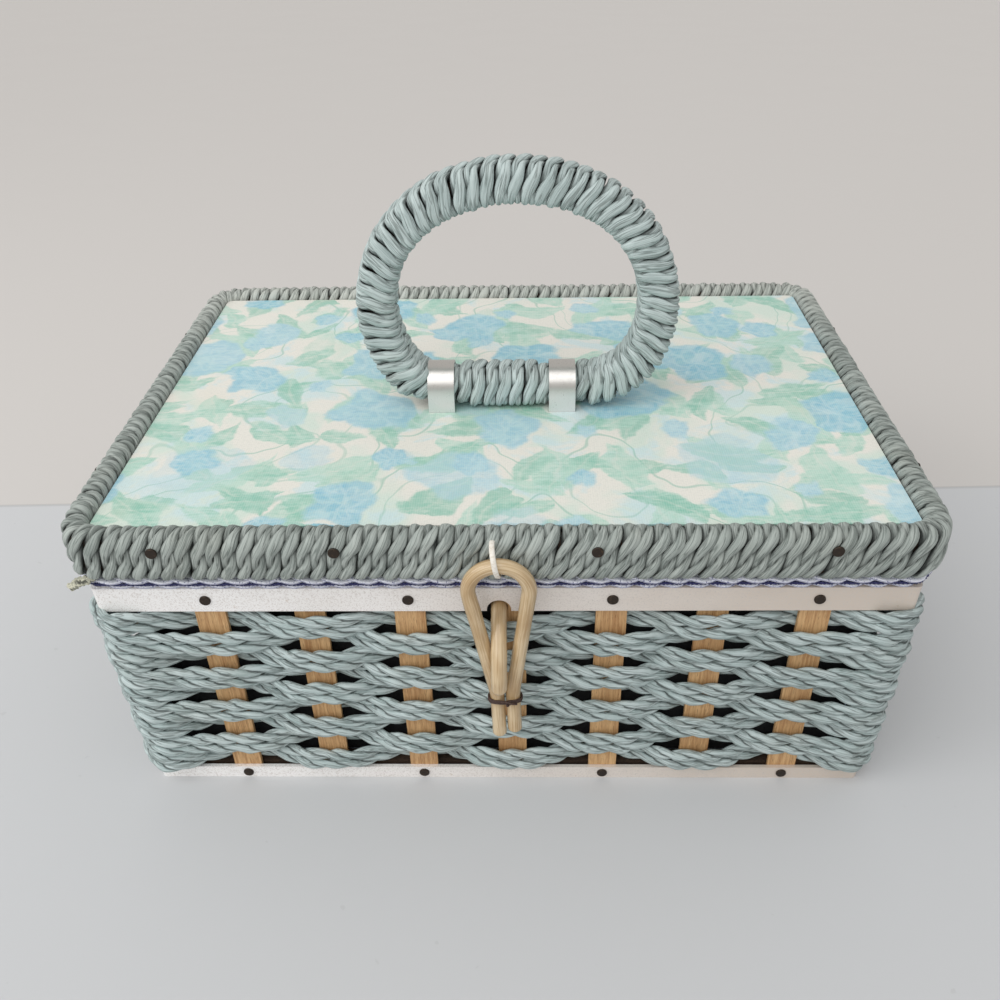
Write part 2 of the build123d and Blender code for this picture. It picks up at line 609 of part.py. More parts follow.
# ---------------------------------------------------------------- handle
def handle_corner(flat_half):
    """Centre and radius of the arc from the flat bar to the shoulder arc, about the ring's middle."""
    half_angle = math.radians(HANDLE_CROWN_HALF_ANGLE)
    offset = HANDLE_CROWN_RADIUS - HANDLE_SHOULDER_RADIUS
    shoulder_x = offset * math.sin(half_angle)
    shoulder_z = HANDLE_RISE - HANDLE_CROWN_RADIUS + offset * math.cos(half_angle)
    radius = (HANDLE_SHOULDER_RADIUS ** 2 - shoulder_z ** 2 - (flat_half - shoulder_x) ** 2)
    radius = radius / (2 * (HANDLE_SHOULDER_RADIUS - shoulder_z))
    angle = math.degrees(math.atan2(radius - shoulder_z, flat_half - shoulder_x))
    return shoulder_x, shoulder_z, radius, angle


def handle_edges():
    """Closed centreline: flat bar, two corners, two shoulders and the crown."""
    def centre(x, z):
        return (HANDLE_X + x, HANDLE_Y, HANDLE_AXIS_Z + z)

    shoulder_x, shoulder_z, right_radius, right_angle = handle_corner(HANDLE_FLAT_RIGHT)
    _, _, left_radius, left_angle = handle_corner(HANDLE_FLAT_LEFT)
    shoulder_angle = 90 - HANDLE_CROWN_HALF_ANGLE
    crown_z = HANDLE_RISE - HANDLE_CROWN_RADIUS
    return [
        Line(centre(-HANDLE_FLAT_LEFT, 0), centre(HANDLE_FLAT_RIGHT, 0)),
        arc_in_xz(centre(HANDLE_FLAT_RIGHT, right_radius), right_radius, -90, right_angle),
        arc_in_xz(centre(shoulder_x, shoulder_z), HANDLE_SHOULDER_RADIUS, right_angle, shoulder_angle),
        arc_in_xz(centre(0, crown_z), HANDLE_CROWN_RADIUS, shoulder_angle, 180 - shoulder_angle),
        arc_in_xz(centre(-shoulder_x, shoulder_z), HANDLE_SHOULDER_RADIUS,
                  180 - shoulder_angle, 180 - left_angle),
        arc_in_xz(centre(-HANDLE_FLAT_LEFT, left_radius), left_radius, 180 - left_angle, 270),
    ]


def handle_pieces():
    edges = handle_edges()
    core = tube_along(edges, HANDLE_CORE)
    return {"handle_core": core, "handle_wrap": tube_along(edges, HANDLE_SECTION) - core}


def strap_legs(x, grow=0.0):
    """The two flat legs of a strap, from the bar's height down to the underside of its feet."""
    inner = HANDLE_SECTION / 2 + STRAP_CLEARANCE
    low = BOARD_BOTTOM - STRAP_THICKNESS
    height = HANDLE_AXIS_Z - low
    legs = []
    for side in (-1, 1):
        y = HANDLE_Y + side * (inner + STRAP_THICKNESS / 2)
        block = Box(STRAP_WIDTH + 2 * grow, STRAP_THICKNESS + 2 * grow, height,
                    align=(Align.CENTER, Align.CENTER, Align.MIN))
        legs.append(Pos(x, y, low) * block)
    return legs


def strap_slits(x):
    return strap_legs(x, STRAP_SLIT_GAP)


def handle_strap(x):
    """Bent metal strip over the bar, through the lid, with its feet turned out underneath."""
    inner = HANDLE_SECTION / 2 + STRAP_CLEARANCE
    outer = inner + STRAP_THICKNESS
    axis_place = Pos(x, HANDLE_Y, HANDLE_AXIS_Z)
    ring = Rot(0, 90, 0) * (Cylinder(outer, STRAP_WIDTH) - Cylinder(inner, STRAP_WIDTH))
    upper = Box(STRAP_WIDTH, 2 * outer, outer, align=(Align.CENTER, Align.CENTER, Align.MIN))
    strap = axis_place * (ring & upper)
    for leg in strap_legs(x):
        strap = strap + leg
    for side in (-1, 1):
        y = HANDLE_Y + side * (outer + STRAP_FOOT / 2)
        foot = Box(STRAP_WIDTH, STRAP_FOOT, STRAP_THICKNESS, align=(Align.CENTER, Align.CENTER, Align.MAX))
        strap = strap + Pos(x, y, BOARD_BOTTOM) * foot
    return strap


# ---------------------------------------------------------------- assembly
def fit_peg(nodes):
    """Cuts the peg's way out of the basket: rail, stave, band notch and the top course of weave."""
    clear = closure_peg(PEG_HOLE_CLEARANCE)
    nodes["top_band_front"] = nodes["top_band_front"] - band_notch()
    for name in ("top_rail_front", f"weave_course_{WEAVE_COURSES}"):
        nodes[name] = nodes[name] - clear
    nodes["staves_front"] = [stave - clear for stave in nodes["staves_front"]]
    nodes["closure_peg"] = closure_peg()


def fit_hinges(nodes):
    """Cuts the holes for the staples' legs in the back band and rail."""
    left_hinge, right_hinge = hinge_spots()
    cuts = [hinge_staple(x, WIRE_HOLE_CLEARANCE) for x in (left_hinge, right_hinge)]
    nodes["top_band_back"] = cut_by(nodes["top_band_back"], cuts)
    nodes["top_rail_back"] = cut_by(nodes["top_rail_back"], cuts)
    nodes["hinge_staple_left"] = hinge_staple(left_hinge)
    nodes["hinge_staple_right"] = hinge_staple(right_hinge)


def solids_of(shape):
    shapes = shape if isinstance(shape, list) else [shape]
    return [solid for item in shapes for solid in item.solids()]


def main():
    os.makedirs("parts", exist_ok=True)
    nodes = basket_frame()
    nodes.update(weave_courses())
    nodes.update(basket_lining())
    fit_peg(nodes)
    fit_hinges(nodes)
    nodes.update(lid_pieces())
    nodes["handle_strap_left"] = handle_strap(LEFT_STRAP_X)
    nodes["handle_strap_right"] = handle_strap(RIGHT_STRAP_X)
    nodes.update(handle_pieces())
    nodes["closure_loop"] = closure_loop()
    nodes["loop_tie"] = loop_tie()
    for name, shape in nodes.items():
        solids = solids_of(shape)
        piece = solids[0] if len(solids) == 1 else Compound(children=solids)
        export_step(piece, f"parts/{name}.step")
    print(len(nodes), "nodes")


main()
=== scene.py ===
"""Looks of a lined, woven sewing basket with a hinged lid, a wrapped ring handle and a loop-and-peg closure.

Sizes held by the classes are millimetres. Whatever reaches Blender is in metres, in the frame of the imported
model: +Z up, the closure towards -Y, the hinges towards +Y.
"""
import logging
import math
from dataclasses import dataclass, field
from enum import Enum
from typing import Any, Callable, Sequence, Union

import bmesh
import bpy
import numpy as np
from mathutils import Matrix, Vector


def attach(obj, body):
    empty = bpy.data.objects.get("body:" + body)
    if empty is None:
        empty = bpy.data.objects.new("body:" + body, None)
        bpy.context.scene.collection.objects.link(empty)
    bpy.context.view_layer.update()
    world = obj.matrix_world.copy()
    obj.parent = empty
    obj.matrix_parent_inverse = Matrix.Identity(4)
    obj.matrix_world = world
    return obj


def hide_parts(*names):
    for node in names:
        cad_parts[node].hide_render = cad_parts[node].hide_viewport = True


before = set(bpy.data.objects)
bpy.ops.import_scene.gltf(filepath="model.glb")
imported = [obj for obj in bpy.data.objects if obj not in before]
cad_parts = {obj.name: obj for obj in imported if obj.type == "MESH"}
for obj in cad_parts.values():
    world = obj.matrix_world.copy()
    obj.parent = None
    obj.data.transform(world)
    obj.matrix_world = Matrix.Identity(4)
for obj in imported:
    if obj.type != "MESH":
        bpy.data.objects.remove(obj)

LOG = logging.getLogger("basket")
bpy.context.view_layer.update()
MM = 0.001
TURN = 2 * math.pi
WALLS = ("front", "right", "back", "left")
NOISE_LOW = 0.3
NOISE_HIGH = 0.7
NOISE_SPAN = 2.6
PLY_SHIFT = 17.0
SEED_SHIFT = 5.0
WELD = 0.000002


class Body(Enum):
    """The moving bodies of the basket."""

    BASKET = "basket"
    LID = "lid"
    HANDLE = "handle"
    LOOP = "loop"


def srgb(red: float, green: float, blue: float) -> tuple[float, float, float, float]:
    """A colour written 0 to 255 as the linear colour that nodes use.

    Args:
        red: Red, 0 to 255.
        green: Green, 0 to 255.
        blue: Blue, 0 to 255.

    Returns:
        Linear red, green, blue and an alpha of one.
    """
    linear = []
    for channel in (red, green, blue):
        share = channel / 255
        linear.append(share / 12.92 if share <= 0.04045 else ((share + 0.055) / 1.055) ** 2.4)
    return (linear[0], linear[1], linear[2], 1.0)


# ---- nodes
Operand = Union["Value", float, int, tuple]


def is_vector(operand: Operand) -> bool:
    """Whether an operand is a vector rather than a number."""
    if isinstance(operand, Value):
        return operand.socket.type == "VECTOR"
    return isinstance(operand, (tuple, Vector))


def operator(operation: str, flipped: bool = False) -> Callable[["Value", Operand], "Value"]:
    """Writes one of a value's operators.

    Args:
        operation: The operation of the Math node that it adds.
        flipped: Whether the value stands on the operator's right.

    Returns:
        The method.
    """
    def apply(value: "Value", other: Operand) -> "Value":
        """Adds the node."""
        operands = (other, value) if flipped else (value, other)
        return value.nodes.maths(operation, *operands)
    return apply


class Value:
    """A socket of a node tree, with the arithmetic of Math and Vector Math nodes."""

    __add__ = operator("ADD")
    __radd__ = operator("ADD", flipped=True)
    __sub__ = operator("SUBTRACT")
    __rsub__ = operator("SUBTRACT", flipped=True)
    __mul__ = operator("MULTIPLY")
    __rmul__ = operator("MULTIPLY", flipped=True)
    __truediv__ = operator("DIVIDE")
    __rtruediv__ = operator("DIVIDE", flipped=True)
    __lt__ = operator("LESS_THAN")

    def __init__(self, nodes: "Nodes", socket: bpy.types.NodeSocket) -> None:
        """Wraps an output socket of a tree."""
        self.nodes = nodes
        self.socket = socket

    def __abs__(self) -> "Value":
        """The value without its sign."""
        return self.nodes.maths("ABSOLUTE", self)

    def __pow__(self, power: Operand) -> "Value":
        """The value to a power."""
        return self.nodes.maths("POWER", self, power)

    def part(self, letter: str) -> "Value":
        """The X, Y or Z of a vector."""
        return self.nodes.add("ShaderNodeSeparateXYZ", {}, {"Vector": self})[letter]


class Made:
    """A node that has been made, whose outputs are read by name."""

    def __init__(self, nodes: "Nodes", node: bpy.types.Node) -> None:
        """Keeps the node and its tree."""
        self.nodes = nodes
        self.node = node

    def __getitem__(self, key: Union[str, int]) -> Value:
        """One of the node's outputs, by name or by number."""
        return Value(self.nodes, pick(self.node.outputs, key))


def pick(sockets: Sequence[bpy.types.NodeSocket], key: Union[str, int]) -> bpy.types.NodeSocket:
    """Finds a socket that is in use.

    Args:
        sockets: A node's inputs or outputs.
        key: The socket's name, or its number among those in use.

    Returns:
        The socket.
    """
    used = [socket for socket in sockets if socket.enabled]
    if isinstance(key, int):
        return used[key]
    return next(socket for socket in used if socket.name == key)


class Nodes:
    """A node tree that is written as Python expressions."""

    def __init__(self, tree: bpy.types.NodeTree) -> None:
        """Keeps the tree that nodes are added to."""
        self.tree = tree

    def add(self, kind: str, settings: dict[str, Any], sockets: dict[Union[str, int], Any]) -> Made:
        """Adds a node of any type.

        Args:
            kind: The node's type name.
            settings: Its settings, set first.
            sockets: Numbers, colours or links for its inputs, by name or number.

        Returns:
            The node.
        """
        node = self.tree.nodes.new(kind)
        for name, setting in settings.items():
            setattr(node, name, setting)
        for key, content in sockets.items():
            self._feed(pick(node.inputs, key), content)
        return Made(self, node)

    def _feed(self, socket: bpy.types.NodeSocket, content: Any) -> None:
        """Links or sets one input."""
        if isinstance(content, Value):
            self.tree.links.new(content.socket, socket)
        elif isinstance(content, list):
            for value in content:
                self.tree.links.new(value.socket, socket)
        else:
            socket.default_value = content

    def maths(self, operation: str, *operands: Operand) -> Value:
        """Adds a Math node, or a Vector Math node where an operand is a vector."""
        if any(is_vector(operand) for operand in operands):
            numbers = [operand for operand in operands if not is_vector(operand)]
            if operation == "MULTIPLY" and numbers:
                vector = next(operand for operand in operands if is_vector(operand))
                return self.add("ShaderNodeVectorMath", {"operation": "SCALE"},
                                {"Vector": vector, "Scale": numbers[0]})["Vector"]
            return self.add("ShaderNodeVectorMath", {"operation": operation}, dict(enumerate(operands)))[0]
        return self.add("ShaderNodeMath", {"operation": operation}, dict(enumerate(operands)))[0]

    def sine(self, angle: Operand) -> Value:
        """Sine of an angle in radians."""
        return self.maths("SINE", angle)

    def cosine(self, angle: Operand) -> Value:
        """Cosine of an angle in radians."""
        return self.maths("COSINE", angle)

    def cross(self, first: Operand, second: Operand) -> Value:
        """Unit vector across two others."""
        product = self.maths("CROSS_PRODUCT", first, second)
        return self.maths("NORMALIZE", product)

    def vector(self, x: Operand, y: Operand, z: Operand) -> Value:
        """A vector from its three parts."""
        return self.add("ShaderNodeCombineXYZ", {}, {"X": x, "Y": y, "Z": z})["Vector"]

    def step(self, value: Operand, low: float, high: float) -> Value:
        """Smooth rise from nought at low to one at high."""
        sockets = {"Value": value, "From Min": low, "From Max": high}
        return self.add("ShaderNodeMapRange", {"interpolation_type": "SMOOTHSTEP"}, sockets)["Result"]

    def fall(self, value: Operand, low: float, high: float) -> Value:
        """Smooth fall from one at low to nought at high."""
        return 1 - self.step(value, low, high)

    def follow(self, noise: Value, at_low: float, at_high: float) -> Value:
        """A number that goes from one value to another as a noise goes from low to high."""
        sockets = {"Value": noise, "From Min": NOISE_LOW, "From Max": NOISE_HIGH, "To Min": at_low,
                   "To Max": at_high}
        return self.add("ShaderNodeMapRange", {}, sockets)["Result"]

    def noise(self, place: Operand, scale: float, detail: float = 2.0, rough: float = 0.5, bend: float = 0.0,
              output: str = "Fac") -> Value:
        """Noise over a vector place, as a number or as the vector that its colour stands for."""
        sockets = {"Vector": place, "Scale": scale, "Detail": detail, "Roughness": rough, "Distortion": bend}
        return self.add("ShaderNodeTexNoise", {}, sockets)[output]

    def swing(self, place: Operand, scale: float) -> Value:
        """Noise over a vector place, centred on nought, about -1 to 1."""
        return (self.noise(place, scale, 1.0) - 0.5) * NOISE_SPAN

    def noise_line(self, place: Operand, scale: float, detail: float = 1.0) -> Value:
        """Noise along a line, centred on nought, about -1 to 1."""
        made = self.add(
            "ShaderNodeTexNoise", {"noise_dimensions": "1D"}, {"W": place, "Scale": scale, "Detail": detail})
        return (made["Fac"] - 0.5) * NOISE_SPAN


# ---- finishes
class Shade(Nodes):
    """A material that is being written."""

    def __init__(self, name: str) -> None:
        """Starts an empty material."""
        self.material = bpy.data.materials.new(name)
        self.material.use_nodes = True
        super().__init__(self.material.node_tree)
        self.tree.nodes.clear()

    def place(self) -> Value:
        """Object coordinates in millimetres."""
        return self.add("ShaderNodeTexCoord", {}, {})["Object"] * (1 / MM)

    def lay(self) -> Value:
        """Millimetres round and along a strand, as its piece stored them."""
        return self.add("ShaderNodeAttribute", {"attribute_name": "lay"}, {})["Vector"]

    def groove(self) -> Value:
        """Nought deep between strands to one on their crowns, as their piece stored it."""
        return self.add("ShaderNodeAttribute", {"attribute_name": "groove"}, {})["Fac"]

    def mix(self, share: Operand, first: Any, second: Any) -> Value:
        """Mixes two colours."""
        sockets = {"Factor": share, "A": first, "B": second}
        return self.add("ShaderNodeMix", {"data_type": "RGBA"}, sockets)["Result"]

    def bump(self, height: Value, strength: float, depth: float) -> Value:
        """A normal from a height.

        Args:
            height: The height, nought to one.
            strength: How much of it shows.
            depth: What a height of one stands for, in millimetres.

        Returns:
            The normal.
        """
        sockets = {"Height": height, "Strength": strength, "Distance": depth * MM}
        return self.add("ShaderNodeBump", {}, sockets)["Normal"]

    def finish(self, **sockets: Any) -> bpy.types.Material:
        """Puts a Principled shader with these sockets on the output and returns the material."""
        named = {name.replace("_", " "): content for name, content in sockets.items()}
        shader = self.add("ShaderNodeBsdfPrincipled", {}, named)
        self.add("ShaderNodeOutputMaterial", {}, {"Surface": shader["BSDF"]})
        return self.material


@dataclass(frozen=True)
class Finish:
    """A material's name and a slot name that is carried along with it."""

    name: str
    slot: str

    def make(self) -> bpy.types.Material:
        """Makes the material."""
        shade = Shade(self.name)
        self.write(shade)
        return shade.material

    def write(self, shade: Shade) -> None:
        """Writes the material's nodes."""
        raise NotImplementedError


@dataclass(frozen=True)
class PaperCord(Finish):
    """Twisted paper cord: matt, with fine fibres that run along each ply. Its colour carries painted light:
    painted shadow between strands and in the creases, a painted lighter back and painted shade towards the
    right.
    """

    light: tuple
    dark: tuple
    # How far up a strand's side the painted groove shadow reaches, and how dark it is.
    crown: float
    soiled: tuple = srgb(150, 140, 118)
    painted_back_light: tuple = srgb(204, 206, 198)
    shaded: tuple = srgb(86, 94, 90)
    crease_shadow: tuple = srgb(84, 92, 88)
    deep: tuple = srgb(44, 48, 46)

    def write(self, shade: Shade) -> None:
        """Writes the nodes."""
        lay = shade.lay()
        place = shade.place()
        streaks = shade.noise(lay * (1.0, 1.0, 0.04), 2.8, 4.0, 0.62)
        hairs = shade.noise(lay * (1.0, 1.0, 0.02), 8.0, 2.0, 0.5)
        folds = shade.noise(lay * (1.0, 1.0, 0.07), 0.75, 2.0, 0.5)
        patches = shade.noise(lay * (0.2, 0.2, 0.06), 1.0, 2.0)
        soil = shade.noise(place, 0.045, 3.0)
        creases = shade.fall(abs(folds - 0.5), 0.004, 0.045)
        tone = shade.step(streaks * 0.5 + hairs * 0.35 + patches * 0.35, 0.42, 0.74)
        colour = shade.mix(tone, self.dark, self.light)
        colour = shade.mix(shade.step(soil, 0.5, 0.8) * 0.14, colour, self.soiled)
        # Painted light: the back, from Y 30 to 105 mm, is painted lighter, as if more light fell there.
        colour = shade.mix(shade.step(place.part("Y"), 30.0, 105.0) * 0.66, colour, self.painted_back_light)
        # Painted shade: darker towards the right, from X -20 to 140 mm, as if less light fell there.
        colour = shade.mix(shade.step(place.part("X"), -20.0, 140.0) * 0.12, colour, self.shaded)
        # Painted shadow in the paper's creases; the same creases are also cut into the bump.
        colour = shade.mix(creases * 0.55, colour, self.crease_shadow)
        # Painted shadow between strands: the stored groove darkens the colour up to the crown.
        shadow = shade.fall(shade.groove() + (patches - 0.5) * 0.12, 0.5, self.crown)
        colour = shade.mix(shadow * self.crown, colour, self.deep)
        height = streaks * 0.5 + hairs * 0.2 - creases * 0.5
        shade.finish(Base_Color=colour, Roughness=shade.follow(hairs, 0.56, 0.72),
                     Normal=shade.bump(height, 0.8, 0.3), Specular_IOR_Level=0.35)


@dataclass(frozen=True)
class PearlFilm(Finish):
    """Ivory pearl film over thin wood strip, with fine sparkle, bare wood where the strip is cut, and painted
    light falloff: bright on the left, darker and warmer towards the right.
    """

    bright: tuple = srgb(254, 252, 250)
    painted_falloff: tuple = srgb(212, 199, 186)
    speckle: tuple = srgb(208, 200, 193)
    streak: tuple = srgb(206, 192, 180)
    scuff: tuple = srgb(186, 164, 140)

    def write(self, shade: Shade) -> None:
        """Writes the nodes."""
        place = shade.place()
        drawn = shade.noise(place * (0.05, 0.05, 1.0), 2.2, 3.0, 0.6)
        sparkle = shade.noise(place, 1.7, 3.0, 0.8)
        clouds = shade.noise(place * (1.0, 1.0, 2.0), 0.05, 3.0)
        # Painted light falloff: the film is bright on the left and darker and warmer towards the right, as if
        # less light fell there.
        painted_falloff = shade.step(place.part("X") + clouds * 60.0, -80.0, 150.0)
        colour = shade.mix(painted_falloff, self.bright, self.painted_falloff)
        colour = shade.mix(shade.fall(sparkle, 0.4, 0.5) * 0.62, colour, self.speckle)
        colour = shade.mix(shade.step(drawn, 0.55, 0.75) * 0.12, colour, self.streak)
        scuffs = shade.step(shade.noise(place, 0.35, 5.0, 0.7), 0.66, 0.72)
        colour = shade.mix(scuffs * 0.45, colour, self.scuff)
        height = sparkle * 0.5 + drawn * 0.5
        shade.finish(
            Base_Color=colour, Roughness=shade.follow(sparkle, 0.26, 0.44), Metallic=0.12, Coat_Weight=0.25,
            Coat_Roughness=0.25, Normal=shade.bump(height, 0.5, 0.16))


@dataclass(frozen=True)
class GrainedWood(Finish):
    """Plain wood whose grain runs along one axis."""

    light: tuple
    dark: tuple
    stretch: tuple = (1.0, 1.0, 0.035)
    split: tuple = srgb(98, 66, 40)
    grain: float = 1.5
    roughness: float = 0.62

    def write(self, shade: Shade) -> None:
        """Writes the nodes."""
        place = shade.place()
        along = place * self.stretch
        bands = shade.noise(along, self.grain, 4.0, 0.6, 0.3)
        pores = shade.noise(along, self.grain * 4.2, 2.0, 0.5)
        patches = shade.noise(place, 0.06, 2.0)
        colour = shade.mix(shade.step(bands * 0.75 + patches * 0.25, 0.33, 0.66), self.dark, self.light)
        splits = shade.fall(pores, 0.3, 0.42)
        colour = shade.mix(splits * 0.55, colour, self.split)
        rough = shade.follow(pores, self.roughness + 0.1, self.roughness - 0.06)
        shade.finish(Base_Color=colour, Roughness=rough, Specular_IOR_Level=0.4,
                     Normal=shade.bump(bands * 0.5 + pores * 0.5, 0.5, 0.2))


@dataclass(frozen=True)
class Varnished(Finish):
    """Varnished rattan: pale, with lengthwise streaks, faint rings at its nodes and a soft gloss."""

    light: tuple = srgb(217, 195, 158)
    dark: tuple = srgb(176, 145, 102)
    hair: tuple = srgb(150, 112, 72)
    ring: tuple = srgb(140, 104, 68)

    def write(self, shade: Shade) -> None:
        """Writes the nodes."""
        lay = shade.lay()
        streaks = shade.noise(lay * (1.0, 1.0, 0.03), 2.4, 4.0, 0.6)
        hairs = shade.noise(lay * (1.0, 1.0, 0.02), 7.0, 2.0)
        patches = shade.noise(lay * (0.1, 0.1, 0.05), 1.4, 2.0)
        rings = shade.step(shade.noise(lay * (0.03, 0.03, 0.045), 1.0, 0.0), 0.68, 0.72)
        tone = shade.step(streaks * 0.6 + patches * 0.5, 0.4, 0.72)
        colour = shade.mix(tone, self.dark, self.light)
        colour = shade.mix(shade.fall(hairs, 0.3, 0.42) * 0.5, colour, self.hair)
        colour = shade.mix(rings * 0.35, colour, self.ring)
        height = streaks * 0.6 + hairs * 0.4
        shade.finish(Base_Color=colour, Roughness=shade.follow(streaks, 0.42, 0.3),
                     Coat_Weight=0.6, Coat_Roughness=0.14, Normal=shade.bump(height, 0.35, 0.14))


@dataclass(frozen=True)
class MetalFinish(Finish):
    """Bare or darkened metal, drawn or rolled along one axis."""

    colour: tuple
    worn: tuple
    stretch: tuple = (1.0, 0.04, 0.04)
    roughness: float = 0.3
    metallic: float = 1.0
    wear: float = 0.3
    # Strength of a painted reflection that makes the low part pale and dull.
    pale: float = 0.0
    reflection_colour: tuple = srgb(240, 243, 243)

    def write(self, shade: Shade) -> None:
        """Writes the material. Where pale is more than nought, the metal is dull and pale low down, fading
        out between Z 118 and 123 mm: a painted reflection.
        """
        place = shade.place()
        # Painted reflection: below Z 118 to 123 mm the metal is painted pale and less metallic.
        low = shade.fall(place.part("Z"), 118.0, 123.0) * self.pale
        drawn = shade.noise(place * self.stretch, 9.0, 3.0, 0.6)
        spots = shade.noise(place, 1.3, 4.0, 0.65)
        colour = shade.mix(shade.step(spots, 0.52, 0.72) * self.wear, self.colour, self.worn)
        colour = shade.mix(low, colour, self.reflection_colour)
        rough = shade.follow(drawn * 0.6 + spots * 0.4, self.roughness - 0.06, self.roughness + 0.14)
        shade.finish(Base_Color=colour, Roughness=rough, Metallic=self.metallic * (1 - low),
                     Normal=shade.bump(drawn * 0.7 + spots * 0.3, 0.25, 0.06))


@dataclass(frozen=True)
class Satin(Finish):
    """Padded satin: a smooth sheen, fine warp threads and small puckers, with a painted sheen that makes the
    puckers' crests paler.
    """

    colour: tuple = srgb(150, 176, 205)
    pale: tuple = srgb(166, 190, 216)
    warp: tuple = srgb(196, 214, 234)

    def write(self, shade: Shade) -> None:
        """Writes the nodes."""
        place = shade.place()
        puckers = shade.noise(place * (1.0, 1.0, 0.6), 0.06, 3.0, 0.5, 0.15)
        threads = shade.noise(place * (1.0, 1.0, 0.08), 5.5, 2.0)
        # Painted sheen: paler where the puckers rise, from the same noise as their bump.
        colour = shade.mix(shade.step(puckers, 0.3, 0.7), self.colour, self.pale)
        colour = shade.mix(shade.step(threads, 0.5, 0.75) * 0.25, colour, self.warp)
        shade.finish(Base_Color=colour, Roughness=shade.follow(threads, 0.32, 0.44),
                     Sheen_Weight=0.35, Sheen_Roughness=0.3, Specular_IOR_Level=0.6,
                     Normal=shade.bump(puckers * 0.92 + threads * 0.08, 0.7, 2.6))


@dataclass(frozen=True)
class ThreadFinish(Finish):
    """Lustrous or waxed thread, with fine filaments along it, painted glints and painted shade at the
    strands' edges.
    """

    light: tuple
    dark: tuple
    roughness: float = 0.42
    metallic: float = 0.0
    glint: float = 0.0
    base: float = 0.4
    flecks: tuple = (0.38, 0.64)
    glint_colour: tuple = srgb(250, 250, 255)

    def write(self, shade: Shade) -> None:
        """Writes the nodes."""
        lay = shade.lay()
        filaments = shade.noise(lay * (1.0, 1.0, 0.25), 3.4, 3.0, 0.65)
        crinkle = shade.noise(lay * (0.8, 0.8, 1.4), 1.2, 4.0, 0.7)
        tone = shade.step(filaments * 0.3 + crinkle * 0.7, *self.flecks)
        colour = shade.mix(self.base + (1 - self.base) * tone, self.dark, self.light)
        colour = shade.mix(shade.step(crinkle, 0.56, 0.7) * self.glint, colour, self.glint_colour)
        # Painted shade: the dark colour at the strands' edges and between them, from the stored groove.
        colour = shade.mix(shade.fall(shade.groove(), 0.46, 0.66) * 0.9, colour, self.dark)
        rough = shade.follow(crinkle, self.roughness + 0.14, self.roughness - 0.1)
        shade.finish(Base_Color=colour, Roughness=rough, Metallic=self.metallic,
                     Normal=shade.bump(filaments * 0.4 + crinkle * 0.6, 0.8, 0.45))


@dataclass(frozen=True)
class Board(Finish):
    """Pressed hardboard or card, mottled with small fibres."""

    light: tuple
    dark: tuple
    roughness: float = 0.8

    def write(self, shade: Shade) -> None:
        """Writes the nodes."""
        place = shade.place()
        fibres = shade.noise(place, 0.9, 5.0, 0.7, 0.8)
        clouds = shade.noise(place, 0.05, 3.0)
        colour = shade.mix(shade.step(fibres * 0.6 + clouds * 0.4, 0.36, 0.64), self.dark, self.light)
        rough = shade.follow(fibres, self.roughness, self.roughness - 0.1)
        shade.finish(Base_Color=colour, Roughness=rough, Normal=shade.bump(fibres, 0.4, 0.2))


@dataclass(frozen=True)
class LacePlastic(Finish):
    """Off-white extruded lace, a little grubby."""

    clean: tuple = srgb(236, 231, 221)
    grubby: tuple = srgb(212, 203, 186)

    def write(self, shade: Shade) -> None:
        """Writes the nodes."""
        place = shade.place()
        marks = shade.noise(place, 1.1, 3.0)
        lines = shade.noise(place * (1.0, 0.2, 0.2), 5.0, 2.0)
        colour = shade.mix(shade.step(marks, 0.45, 0.75), self.clean, self.grubby)
        shade.finish(Base_Color=colour, Roughness=shade.follow(lines, 0.38, 0.5),
                     Normal=shade.bump(lines, 0.3, 0.1))


